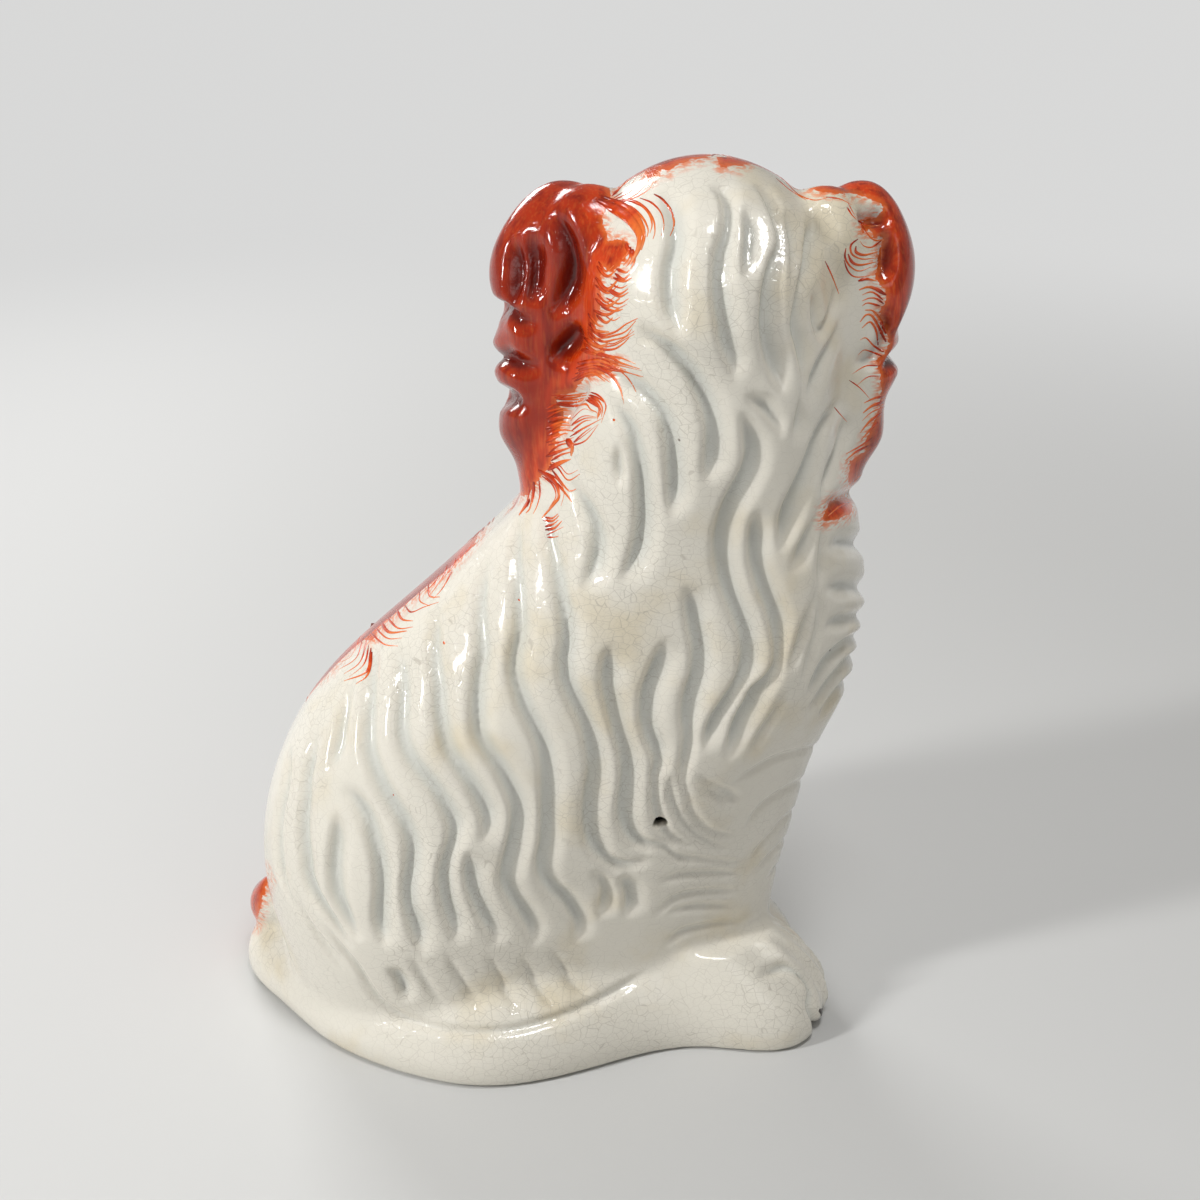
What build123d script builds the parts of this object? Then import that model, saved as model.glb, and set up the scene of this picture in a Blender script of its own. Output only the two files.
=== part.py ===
from build123d import *
import os

# A seated spaniel of press-moulded, glazed earthenware, hollow inside.
# +Z is up, +X runs to the rump, and the face looks along -Y.
# The origin lies on the table, under the middle of the figure.

# Whole figure, in millimetres
figure_height = 247
wall = 5
overrun = 20

# Seated trunk, from the table to the middle of the skull
trunk_height = 213
trunk_length = 150
trunk_depth = 92

# Spreading foot under the figure
foot_length = 188
foot_depth = 108
foot_height = 27

# Skull and muzzle
skull_depth = 78
muzzle_width = 37
muzzle_height = 29
muzzle_drop = 16
muzzle_reach = 52

# Drooping ears
ear_thickness = 30
ear_offset = 6
ear_drop = 7
rump_ear_length = 90
rump_ear_width = 31
rump_ear_lean = 0
chest_ear_length = 92
chest_ear_width = 27
chest_ear_lean = 9

# Haunch and hind foot on the front
haunch_length = 84
haunch_height = 78
haunch_reach = 50
hind_foot_length = 62
hind_foot_width = 21
hind_foot_height = 20

# Forelegs and paws
leg_length = 27
leg_depth = 25
leg_height = 112
front_paw_reach = 24
back_paw_reach = 31.5
paw_width = 25
paw_height = 27
paw_lift = 0.6

# Tail that lies along the front of the rump
tail_diameter = 17
tail_height = 24

# Collar, padlock and chain in low relief on the front
collar_width = 7
collar_relief = 1.6
padlock_diameter = 13
padlock_relief = 2.4
chain_width = 3.2
chain_relief = 1.4

# Closing slab in the foot, and the rolls of clay that join the pieces inside
slab_thickness = 5
slab_recess = 1.2
roll_thickness = 3.5
base_roll_height = 7
seam_roll_width = 11

# Vent hole through the back
vent_diameter = 4.8

# Places along the trunk's length, across its depth and up its height
skull_along_share = -0.267
skull_across_share = 0.033
haunch_along_share = 0.267
haunch_up_share = 0.225
front_leg_along_share = -0.28
front_leg_across_share = -0.207
back_leg_along_share = -0.333
back_leg_across_share = 0.163
padlock_along_share = -0.26
padlock_up_share = 0.667
vent_along_share = -0.198
vent_up_share = 0.35

# Places of the hind foot along the foot's length, depth and height
hind_foot_along_share = -0.085
hind_foot_across_share = -0.389
hind_foot_up_share = 0.52

# Trunk sections: level, rump reach, chest reach, rump depth, chest depth, as
# shares of the trunk's height, length and half depth, and the front's share
# of the back's depth at the belly
trunk_row_shares = (
    (0.040, 0.520, -0.425, 0.92, 0.54, 0.84),
    (0.094, 0.533, -0.427, 0.95, 0.56, 0.82),
    (0.188, 0.557, -0.440, 1.00, 0.59, 0.80),
    (0.282, 0.553, -0.467, 1.00, 0.64, 0.80),
    (0.376, 0.513, -0.497, 0.96, 0.70, 0.84),
    (0.469, 0.430, -0.545, 0.90, 0.75, 0.92),
    (0.563, 0.293, -0.560, 0.84, 0.78, 1.00),
    (0.657, 0.150, -0.553, 0.80, 0.78, 1.00),
    (0.742, 0.040, -0.540, 0.79, 0.79, 1.00),
    (0.822, -0.010, -0.513, 0.84, 0.84, 1.00),
    (0.915, -0.038, -0.495, 0.86, 0.86, 1.00),
    (1.000, -0.055, -0.480, 0.80, 0.80, 1.00),
)

# Points round half a trunk section: share of the way from chest to rump,
# shares of the rump's and the chest's depth, and share of the belly's tuck
trunk_round_shares = (
    (0.93, 0.64, 0.00, 0.00),
    (0.70, 1.00, 0.00, 0.00),
    (0.40, 0.50, 0.52, 1.00),
    (0.12, 0.00, 0.84, 0.00),
)

# Outline of the foot, as shares of its half length and half depth
foot_outline_shares = (
    (1.000, -0.13),
    (0.972, 0.05),
    (0.880, 0.26),
    (0.710, 0.60),
    (0.450, 0.89),
    (0.210, 1.00),
    (-0.140, 0.84),
    (-0.450, 0.68),
    (-0.750, 0.67),
    (-0.825, 0.50),
    (-0.800, 0.00),
    (-0.725, -0.46),
    (-0.570, -0.66),
    (-0.220, -0.78),
    (0.110, -0.93),
    (0.400, -1.00),
    (0.690, -0.84),
    (0.890, -0.55),
    (0.975, -0.34),
)

# Levels of the foot as shares of its height, with the spread at each
foot_level_shares = ((0.00, 0.985), (0.22, 1.00), (0.70, 0.88), (1.00, 0.75))

# Locks along the outer edge of an ear, as shares of its width and length
ear_outline_shares = (
    (0.10, 0.02),
    (0.50, 0.00),
    (0.82, 0.10),
    (0.97, 0.30),
    (0.90, 0.38),
    (1.00, 0.50),
    (0.90, 0.61),
    (0.94, 0.72),
    (0.80, 0.82),
    (0.72, 0.95),
    (0.45, 1.00),
    (0.15, 0.86),
    (0.00, 0.45),
)

# Share of an ear's length down to its widest lock, where its lean starts
ear_lean_share = 0.3

# Slices of an ear: share of half its thickness, share of its outline
ear_slice_shares = ((-1.0, 0.40), (-0.8, 0.74), (0.0, 1.0), (0.8, 0.74), (1.0, 0.40))

# Slices of the muzzle: share of the way out, share of its width and height
muzzle_slice_shares = ((0.45, 1.25), (0.80, 1.00), (0.96, 0.80), (1.00, 0.55))

# Slices of the haunch: share of its reach, share of its outline
haunch_slice_shares = ((0.00, 1.00), (0.62, 0.90), (0.90, 0.62), (1.00, 0.30))

# Slices of the hind foot: share of its length, share of its width and height
hind_slice_shares = ((0.00, 0.50), (0.10, 0.86), (0.30, 1.00), (0.75, 0.90), (1.00, 0.50))

# Slices of a foreleg: share of its height, share of its section
leg_slice_shares = ((0.10, 0.90), (0.30, 0.94), (0.60, 1.10), (0.85, 1.20), (1.00, 0.80))

# Outline of a paw with its four toes, as shares of its reach and half width
paw_outline_shares = (
    (-0.12, 0.00),
    (0.00, -0.85),
    (0.45, -1.00),
    (0.88, -0.80),
    (0.84, -0.50),
    (0.99, -0.28),
    (0.92, 0.00),
    (0.99, 0.28),
    (0.84, 0.50),
    (0.88, 0.80),
    (0.45, 1.00),
    (0.00, 0.85),
)

# Levels of a paw as shares of its height, with shares of its reach and width
paw_level_shares = (
    (0.00, 0.95, 0.90),
    (0.22, 1.00, 1.00),
    (0.48, 0.93, 0.96),
    (0.74, 0.76, 0.86),
    (1.00, 0.46, 0.62),
)

# Way of the tail from the base up the rump, as shares of the foot's half
# length, its half depth and the tail's height
tail_way_shares = (
    (0.50, -0.84, 0.55),
    (0.78, -0.62, 0.60),
    (0.90, -0.30, 0.67),
    (0.87, -0.10, 1.00),
)

# Ways of the collar and the chain over the front, as shares of the trunk's
# length and height
collar_way_shares = ((-0.50, 0.79), (-0.39, 0.735), (-0.26, 0.715), (-0.12, 0.735), (-0.01, 0.78))
chain_way_shares = ((-0.24, 0.64), (-0.15, 0.555), (0.00, 0.495), (0.17, 0.475), (0.34, 0.50))

# Sizes that follow from the ones above
skull_radius = figure_height - trunk_height
skull_x = skull_along_share * trunk_length
skull_y = skull_across_share * trunk_depth
slab_top = slab_recess + slab_thickness


def trunk_form(inset):
    """Loft the seated trunk, with its skin drawn in by inset."""
    with BuildPart() as form:
        for level, rump, chest, rump_depth, chest_depth, belly in trunk_row_shares:
            rump_x = rump * trunk_length - inset
            chest_x = chest * trunk_length + inset
            rump_y = rump_depth * trunk_depth / 2 - inset
            chest_y = chest_depth * trunk_depth / 2 - inset
            back = []
            front = []
            for along, of_rump, of_chest, of_belly in trunk_round_shares:
                x = chest_x + along * (rump_x - chest_x)
                y = of_rump * rump_y + of_chest * chest_y
                back.append((x, y))
                front.append((x, -y * (1 - of_belly + of_belly * belly)))
            points = [(rump_x, 0), *back, (chest_x, 0), *reversed(front)]
            with BuildSketch(Plane.XY.offset(level * trunk_height)):
                with BuildLine():
                    Spline(*points, periodic=True)
                make_face()
        loft()
    return form.part


def foot_form(inset):
    """Loft the spreading foot, with its skin drawn in by inset."""
    half_length = foot_length / 2 - inset
    half_depth = foot_depth / 2 - inset
    with BuildPart() as form:
        for level, spread in foot_level_shares:
            points = []
            for along, across in foot_outline_shares:
                points.append((along * spread * half_length, across * spread * half_depth))
            with BuildSketch(Plane.XY.offset(level * (foot_height - inset))):
                with BuildLine():
                    Spline(*points, periodic=True)
                make_face()
        loft()
    return form.part


def skull_form(inset):
    """Turn the skull about its front-to-back axis."""
    with BuildPart() as form:
        with BuildSketch(Plane.YZ.offset(skull_x)):
            with Locations((skull_y, trunk_height)):
                Ellipse(skull_depth / 2 - inset, skull_radius - inset)
                Rectangle(
                    skull_depth,
                    2 * skull_radius,
                    align=(Align.CENTER, Align.MAX),
                    mode=Mode.SUBTRACT,
                )
        revolve(axis=Axis((skull_x, skull_y, trunk_height), (0, 1, 0)))
    return form.part


def ear_form(side, width, length, lean):
    """Loft one drooping ear on the rump side (1) or the chest side (-1)."""
    middle_x = skull_x + side * (skull_radius + ear_offset)
    middle_z = figure_height - ear_drop - length / 2
    with BuildPart() as form:
        for out, size in ear_slice_shares:
            points = []
            for across, down in ear_outline_shares:
                x = middle_x + side * (across - 1 / 2) * width * size
                x = x + (down - ear_lean_share) * lean
                z = middle_z + (1 / 2 - down) * length * size
                points.append((x, z))
            with BuildSketch(Plane.XZ.offset(-out * ear_thickness / 2)):
                with BuildLine():
                    Spline(*points, periodic=True)
                make_face()
        loft()
    return form.part


def muzzle_form():
    """Loft the blunt muzzle out of the face."""
    with BuildPart() as form:
        for out, size in muzzle_slice_shares:
            with BuildSketch(Plane.XZ.offset(out * muzzle_reach)):
                with Locations((skull_x, trunk_height - muzzle_drop)):
                    Ellipse(muzzle_width / 2 * size, muzzle_height / 2 * size)
        loft()
    return form.part


def haunch_form():
    """Loft the folded hind leg that swells from the front."""
    haunch_x = haunch_along_share * trunk_length
    haunch_z = haunch_up_share * trunk_height
    with BuildPart() as form:
        for out, size in haunch_slice_shares:
            with BuildSketch(Plane.XZ.offset(out * haunch_reach)):
                with Locations((haunch_x, haunch_z)):
                    Ellipse(haunch_length / 2 * size, haunch_height / 2 * size)
        loft()
    return form.part


def hind_foot_form():
    """Loft the hind foot that lies along the front of the base."""
    start_x = hind_foot_along_share * foot_length
    foot_y = hind_foot_across_share * foot_depth
    foot_z = hind_foot_up_share * foot_height
    with BuildPart() as form:
        for along, size in hind_slice_shares:
            with BuildSketch(Plane.YZ.offset(start_x + along * hind_foot_length)):
                with Locations((foot_y, foot_z)):
                    Ellipse(hind_foot_width / 2 * size, hind_foot_height / 2 * size)
        loft()
    return form.part


def leg_form():
    """Loft the foreleg that stands out from the front."""
    leg_x = front_leg_along_share * trunk_length
    leg_y = front_leg_across_share * trunk_depth
    with BuildPart() as form:
        for up, size in leg_slice_shares:
            with BuildSketch(Plane.XY.offset(up * leg_height)):
                with Locations((leg_x, leg_y)):
                    Ellipse(leg_length / 2 * size, leg_depth / 2 * size)
        loft()
    return form.part


def paw_form(along_share, across_share, reach):
    """Loft one forepaw, whose outline has the toes."""
    leg_x = along_share * trunk_length
    leg_y = across_share * trunk_depth
    with BuildPart() as form:
        for level, far, wide in paw_level_shares:
            points = []
            for out, across in paw_outline_shares:
                points.append((leg_x - out * far * reach, leg_y + across * wide * paw_width / 2))
            with BuildSketch(Plane.XY.offset(paw_lift + level * paw_height)):
                with BuildLine():
                    Spline(*points, periodic=True)
                make_face()
        loft()
    return form.part


def tail_form():
    """Sweep the tail along the base and up the rump."""
    way = []
    for along, across, up in tail_way_shares:
        way.append((along * foot_length / 2, across * foot_depth / 2, up * tail_height))
    with BuildPart() as form:
        with BuildLine():
            path = Spline(*way)
        with BuildSketch(Plane(origin=path @ 0, z_dir=path % 0)):
            Circle(tail_diameter / 2)
        sweep()
        with Locations(path @ 0, path @ 1):
            Sphere(tail_diameter / 2)
    return form.part


def raised_band(way_shares, width, relief):
    """Raise a band over the front of the trunk."""
    way = [(along * trunk_length, up * trunk_height) for along, up in way_shares]
    with BuildPart() as form:
        with BuildSketch(Plane.XZ):
            with BuildLine():
                Spline(*way)
            trace(line_width=width)
        extrude(amount=trunk_depth)
        add(trunk_form(-relief), mode=Mode.INTERSECT)
    return form.part


def padlock_form():
    """Raise the round padlock under the collar."""
    with BuildPart() as form:
        with BuildSketch(Plane.XZ):
            with Locations((padlock_along_share * trunk_length, padlock_up_share * trunk_height)):
                Circle(padlock_diameter / 2)
        extrude(amount=trunk_depth)
        add(trunk_form(-padlock_relief), mode=Mode.INTERSECT)
    return form.part


def inner_form(depth_below_skin):
    """Join the trunk, foot and skull, drawn in, and open them downwards."""
    with BuildPart() as form:
        add(foot_form(depth_below_skin))
        extrude(faces().sort_by(Axis.Z)[0], amount=overrun)
        add(trunk_form(depth_below_skin))
        add(skull_form(depth_below_skin))
    return form.part


# Outer skin of the figure, as the two halves of the mould give it
with BuildPart() as outer:
    add(trunk_form(0))
    add(foot_form(0))
    add(skull_form(0))
    add(ear_form(1, rump_ear_width, rump_ear_length, rump_ear_lean))
    add(ear_form(-1, chest_ear_width, chest_ear_length, chest_ear_lean))
    add(muzzle_form())
    add(haunch_form())
    add(hind_foot_form())
    add(leg_form())
    add(paw_form(front_leg_along_share, front_leg_across_share, front_paw_reach))
    add(paw_form(back_leg_along_share, back_leg_across_share, back_paw_reach))
    add(tail_form())
    add(raised_band(collar_way_shares, collar_width, collar_relief))
    add(raised_band(chain_way_shares, chain_width, chain_relief))
    add(padlock_form())

hollow = inner_form(wall)
core = inner_form(wall + roll_thickness)

# Both halves together, hollow, with the vent hole through the back
with BuildPart() as moulding:
    add(outer.part)
    add(hollow, mode=Mode.SUBTRACT)
    with BuildSketch(Plane.XZ):
        with Locations((vent_along_share * trunk_length, vent_up_share * trunk_height)):
            Circle(vent_diameter / 2)
    extrude(amount=-trunk_depth, mode=Mode.SUBTRACT)

# Back half, pressed in its own mould
with BuildPart() as back_shell:
    add(moulding.part)
    split(bisect_by=Plane.XZ, keep=Keep.BOTTOM)
back_shell.part.label = "back_shell"

# Front half, with the face
with BuildPart() as front_shell:
    add(moulding.part)
    split(bisect_by=Plane.XZ, keep=Keep.TOP)
front_shell.part.label = "front_shell"

# Slab that closes the foot, set in from its rim
with BuildPart() as base_slab:
    with BuildSketch(Plane.XY.offset(slab_recess)):
        Rectangle(foot_length, foot_depth)
    extrude(amount=slab_thickness)
    add(hollow, mode=Mode.INTERSECT)
base_slab.part.label = "base_slab"

# Roll of clay worked into the corner above the slab
with BuildPart() as base_roll:
    with BuildSketch(Plane.XY.offset(slab_top)):
        Rectangle(foot_length, foot_depth)
    extrude(amount=base_roll_height)
    add(hollow, mode=Mode.INTERSECT)
    add(core, mode=Mode.SUBTRACT)
base_roll.part.label = "base_roll"

# Roll of clay worked over the seam, from the base roll over the crown
with BuildPart() as seam_roll:
    with BuildSketch(Plane.XY.offset(slab_top + base_roll_height)):
        Rectangle(foot_length, seam_roll_width)
    extrude(amount=figure_height)
    add(hollow, mode=Mode.INTERSECT)
    add(core, mode=Mode.SUBTRACT)
seam_roll.part.label = "seam_roll"

os.makedirs("parts", exist_ok=True)
export_step(back_shell.part, "parts/back_shell.step")
export_step(front_shell.part, "parts/front_shell.step")
export_step(base_slab.part, "parts/base_slab.step")
export_step(base_roll.part, "parts/base_roll.step")
export_step(seam_roll.part, "parts/seam_roll.step")
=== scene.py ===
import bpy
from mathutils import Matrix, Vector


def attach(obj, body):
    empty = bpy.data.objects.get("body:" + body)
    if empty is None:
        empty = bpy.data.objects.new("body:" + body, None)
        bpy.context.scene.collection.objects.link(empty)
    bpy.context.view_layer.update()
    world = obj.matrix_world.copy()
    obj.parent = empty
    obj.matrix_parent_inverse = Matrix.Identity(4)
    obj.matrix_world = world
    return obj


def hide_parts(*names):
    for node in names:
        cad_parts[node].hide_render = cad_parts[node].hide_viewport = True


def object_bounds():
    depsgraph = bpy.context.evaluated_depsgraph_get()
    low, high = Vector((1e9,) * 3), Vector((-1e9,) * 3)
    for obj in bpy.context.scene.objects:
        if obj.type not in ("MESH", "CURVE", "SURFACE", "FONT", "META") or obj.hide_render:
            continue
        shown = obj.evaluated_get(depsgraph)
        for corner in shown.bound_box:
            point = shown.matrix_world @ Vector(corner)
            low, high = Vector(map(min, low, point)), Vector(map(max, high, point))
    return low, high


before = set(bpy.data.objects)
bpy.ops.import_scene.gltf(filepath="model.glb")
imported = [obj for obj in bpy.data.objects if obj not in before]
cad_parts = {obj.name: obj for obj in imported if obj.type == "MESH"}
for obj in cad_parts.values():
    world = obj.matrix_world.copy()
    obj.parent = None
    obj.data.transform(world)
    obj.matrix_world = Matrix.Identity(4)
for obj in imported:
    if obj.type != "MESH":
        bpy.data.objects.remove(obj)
cad_box = [list(corner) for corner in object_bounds()]

from math import cos, pi, radians, sin

import bmesh
import bpy
import numpy as np
from mathutils import Matrix, Vector
from mathutils.bvhtree import BVHTree
from mathutils.kdtree import KDTree

scene = bpy.context.scene
scene.view_settings.view_transform = "Standard"

# Camera. It stands behind the figure, 25 degrees above the table, as the
# photograph was taken. Places on the figure that the photograph shows are
# given below in its own pixels, and go through this lens onto the clay.
PHOTO = 1200
TILT = radians(25)
DISTANCE = 0.52
FOCUS_PX = 1890
AIM = Vector((-0.0135, 0, 0.125))
LOOK = Vector((0, -cos(TILT), -sin(TILT)))
UPWARD = Vector((0, -sin(TILT), cos(TILT)))
EYE = AIM - LOOK * DISTANCE

camera = bpy.data.objects.new("camera", bpy.data.cameras.new("camera"))
camera.location = EYE
camera.rotation_euler = (radians(90) - TILT, 0, radians(180))
camera.data.sensor_width = 36
camera.data.lens = 36 * FOCUS_PX / PHOTO
scene.collection.objects.link(camera)
scene.camera = camera


def sight(px, py):
    """Direction from the lens through one pixel of the photograph."""
    aside = Vector((-1, 0, 0)) * (px - PHOTO / 2)
    return (LOOK * FOCUS_PX + aside + UPWARD * (PHOTO / 2 - py)).normalized()


def pixels(points):
    """Pixels at which the photograph shows these points, as an array."""
    away = points - np.array(EYE)
    deep = away @ np.array(LOOK)
    across = PHOTO / 2 - FOCUS_PX * away[:, 0] / deep
    down = PHOTO / 2 - FOCUS_PX * (away @ np.array(UPWARD)) / deep
    return np.stack([across, down], axis=1)


# Clay body. Both halves are pressed in moulds and luted together, and the
# glaze runs over the seam, so the outer skin is formed in one and parted
# again below. It is closed over the hollow and softened as glaze softens it.
SKIN_CELL = 0.00092
SOFTEN_PASSES = 14
WELD = 2e-6
VENT_AT = Vector((-0.0297, 0.0315, 0.07455))
VENT_TURN = Matrix.Translation(VENT_AT) @ Matrix.Rotation(pi / 2, 4, "X")
PLUG_RADIUS, PLUG_LENGTH = 0.0029, 0.008
# The ears' roots: place and half sizes of the clay that joins each to the skull
EAR_ROOTS = (
    ((-0.0110, 0.006, 0.2262), (0.0140, 0.012, 0.0150)),
    ((-0.0690, 0.006, 0.2262), (0.0130, 0.012, 0.0146)),
)


def read_points(mesh):
    flat = np.empty(len(mesh.vertices) * 3)
    mesh.vertices.foreach_get("co", flat)
    return flat.reshape(-1, 3)


def write_points(mesh, points):
    mesh.vertices.foreach_set("co", points.astype(np.float32).ravel())
    mesh.update()


def evened(values, edges, passes, weight=None):
    """Values evened out with their neighbours', half of the way in each pass."""
    count = len(values)
    if weight is None:
        weight = np.ones(count)
    edges = edges[weight[edges].max(axis=1) > 0]
    ends = np.concatenate([edges[:, 0], edges[:, 1]])
    others = np.concatenate([edges[:, 1], edges[:, 0]])
    near = np.maximum(np.bincount(ends, minlength=count), 1)
    values = values.copy()
    for _ in range(passes):
        for axis in range(values.shape[1]):
            mean = np.bincount(ends, weights=values[others, axis], minlength=count) / near
            values[:, axis] += weight * 0.5 * (mean - values[:, axis])
    return values


def new_piece(name, mesh):
    piece = bpy.data.objects.new(name, mesh)
    scene.collection.objects.link(piece)
    return piece


def evaluated_mesh(piece):
    graph = bpy.context.evaluated_depsgraph_get()
    return bpy.data.meshes.new_from_object(piece.evaluated_get(graph))


def piece_from(name, form):
    """A piece with this form's mesh. The form is freed."""
    mesh = bpy.data.meshes.new(name)
    form.to_mesh(mesh)
    form.free()
    return new_piece(name, mesh)


def on_seam(face):
    return all(abs(v.co.y) < WELD for v in face.verts)


form = bmesh.new()
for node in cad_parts.values():
    form.from_mesh(node.data)
bmesh.ops.remove_doubles(form, verts=form.verts, dist=WELD)
bmesh.ops.delete(form, geom=[face for face in form.faces if on_seam(face)], context="FACES")
bmesh.ops.create_cone(form, cap_ends=True, segments=24, radius1=PLUG_RADIUS, radius2=PLUG_RADIUS,
                      depth=PLUG_LENGTH, matrix=VENT_TURN)
for middle, halves in EAR_ROOTS:
    root = Matrix.LocRotScale(Vector(middle), None, Vector(halves))
    bmesh.ops.create_uvsphere(form, u_segments=32, v_segments=20, radius=1, matrix=root)
clay_form = piece_from("clay_form", form)
cells = clay_form.modifiers.new("cells", "REMESH")
cells.mode = "VOXEL"
cells.voxel_size = SKIN_CELL
skin_mesh = evaluated_mesh(clay_form)
bpy.data.objects.remove(clay_form)
skin_edges = np.empty(len(skin_mesh.edges) * 2, np.int32)
skin_mesh.edges.foreach_get("vertices", skin_edges)
skin_edges = skin_edges.reshape(-1, 2)
write_points(skin_mesh, evened(read_points(skin_mesh), skin_edges, SOFTEN_PASSES))
skin = new_piece("skin", skin_mesh)

# Head. The skull, ears and neck run into each other without a step, and the
# face has the blunt muzzle, brow and round eyes of these spaniels. They are
# modelled in the master, here by easing the clay and by pushing it in and out.
FACE_X = -0.040
FACE_Z = 0.197
EASE_PASSES = 150
# Where the ears begin and are full, in millimetres aside of the face's middle,
# and how much farther out that is behind the seam. Heights are in metres.
EARS_FROM, EARS_FULL = (29, 9), (36, 11)
BEHIND_FROM, BEHIND_FULL = 0.000, 0.008
EARS_LOW, NECK_LOW = (0.155, 0.165), (0.150, 0.175)
CROWN_TOP, CROWN_FALL, CROWN_SPAN, CROWN_FADE = 0.226, 0.016, (16, 24), 0.012
MUZZLE_HALF_WIDE, MUZZLE_HALF_HIGH, MUZZLE_EDGE, MUZZLE_FRONT = 22, 18, (0.9, 1.25), -0.02
FRONT_FROM, FRONT_FULL = 0.012, 0.026
# Each push: aside, above the muzzle's middle, its half width and height, how far
# out, in millimetres. The first ones are for both sides of the face.
PUSHES = (
    (14, 27, 9, 6, 2.2),
    (13.5, 18, 7.5, 5.5, -3.0),
    (13.5, 17.5, 4.6, 3.7, 3.6),
    (21, -3, 8, 12, 1.8),
    (7.5, -5, 7.5, 6.5, 1.6),
)
MIDDLE_PUSHES = (
    (0, 21, 4.5, 9, -1.6),
    (0, 8.5, 6.5, 4.2, 2.6),
    (0, -3, 1.5, 6, -1.2),
    (0, -18, 7, 3.6, 2.4),
)
# The chest's rolls swell a little beyond the plain form
SWELL, SWELL_AT, SWELL_HALF, SWELL_FROM, SWELL_FULL = 0.0026, 0.128, 0.024, 0.050, 0.080
BOX_CLEAR = 0.0002


def ramp(value, low, high):
    """Smooth rise from 0 at low to 1 at high."""
    t = np.clip((value - low) / (high - low), 0, 1)
    return t * t * (3 - 2 * t)


points = read_points(skin_mesh)
aside = (points[:, 0] - FACE_X) * 1000
above = (points[:, 2] - FACE_Z) * 1000
behind = ramp(points[:, 1], BEHIND_FROM, BEHIND_FULL)
ears = ramp(np.abs(aside), EARS_FROM[0] + EARS_FROM[1] * behind, EARS_FULL[0] + EARS_FULL[1] * behind)
ears = ears * ramp(points[:, 2], *EARS_LOW)
crown = CROWN_TOP - CROWN_FALL * ramp(np.abs(aside), *CROWN_SPAN)
neck = ramp(points[:, 2], *NECK_LOW) * (1 - ramp(points[:, 2], crown, crown + CROWN_FADE)) * (1 - ears)
muzzle = 1 - ramp(np.hypot(aside / MUZZLE_HALF_WIDE, above / MUZZLE_HALF_HIGH), *MUZZLE_EDGE)
muzzle = muzzle * (points[:, 1] < MUZZLE_FRONT)
points = evened(points, skin_edges, EASE_PASSES, neck * (1 - muzzle))
front = ramp(-points[:, 1], FRONT_FROM, FRONT_FULL)
for across, up, wide, high, out in [*PUSHES, *[(-p[0], *p[1:]) for p in PUSHES], *MIDDLE_PUSHES]:
    spread = ((aside - across) / wide) ** 2 + ((above - up) / high) ** 2
    points[:, 1] -= front * out / 1000 * np.exp(-spread)
points[:, 1] = np.maximum(points[:, 1], cad_box[0][1] + BOX_CLEAR)
swell = np.exp(-((points[:, 2] - SWELL_AT) / SWELL_HALF) ** 2) * ramp(-points[:, 0], SWELL_FROM, SWELL_FULL)
points[:, 0] = np.maximum(points[:, 0] - SWELL * swell, cad_box[0][0] + BOX_CLEAR)
write_points(skin_mesh, points)

# Coat. Its wavy locks are cut in the master from which the moulds were cast,
# so each parting is a furrow pressed into the clay. The back's partings are
# set out by pixels of the photograph, and lie where they show there.
PARTING_STEP_PX = 2.0
FRONT_STEP_MM = 0.6
# Rays that look for the front start from here, clear of the body
RAYS_FROM_Y = -0.2
# How far a parting goes on round the body where it leaves the view, in metres
WRAP_REACH, ROLL_WRAP, WRAP_STEP = 0.016, 0.032, 0.0012
FADE_REACH = 0.011

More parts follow.
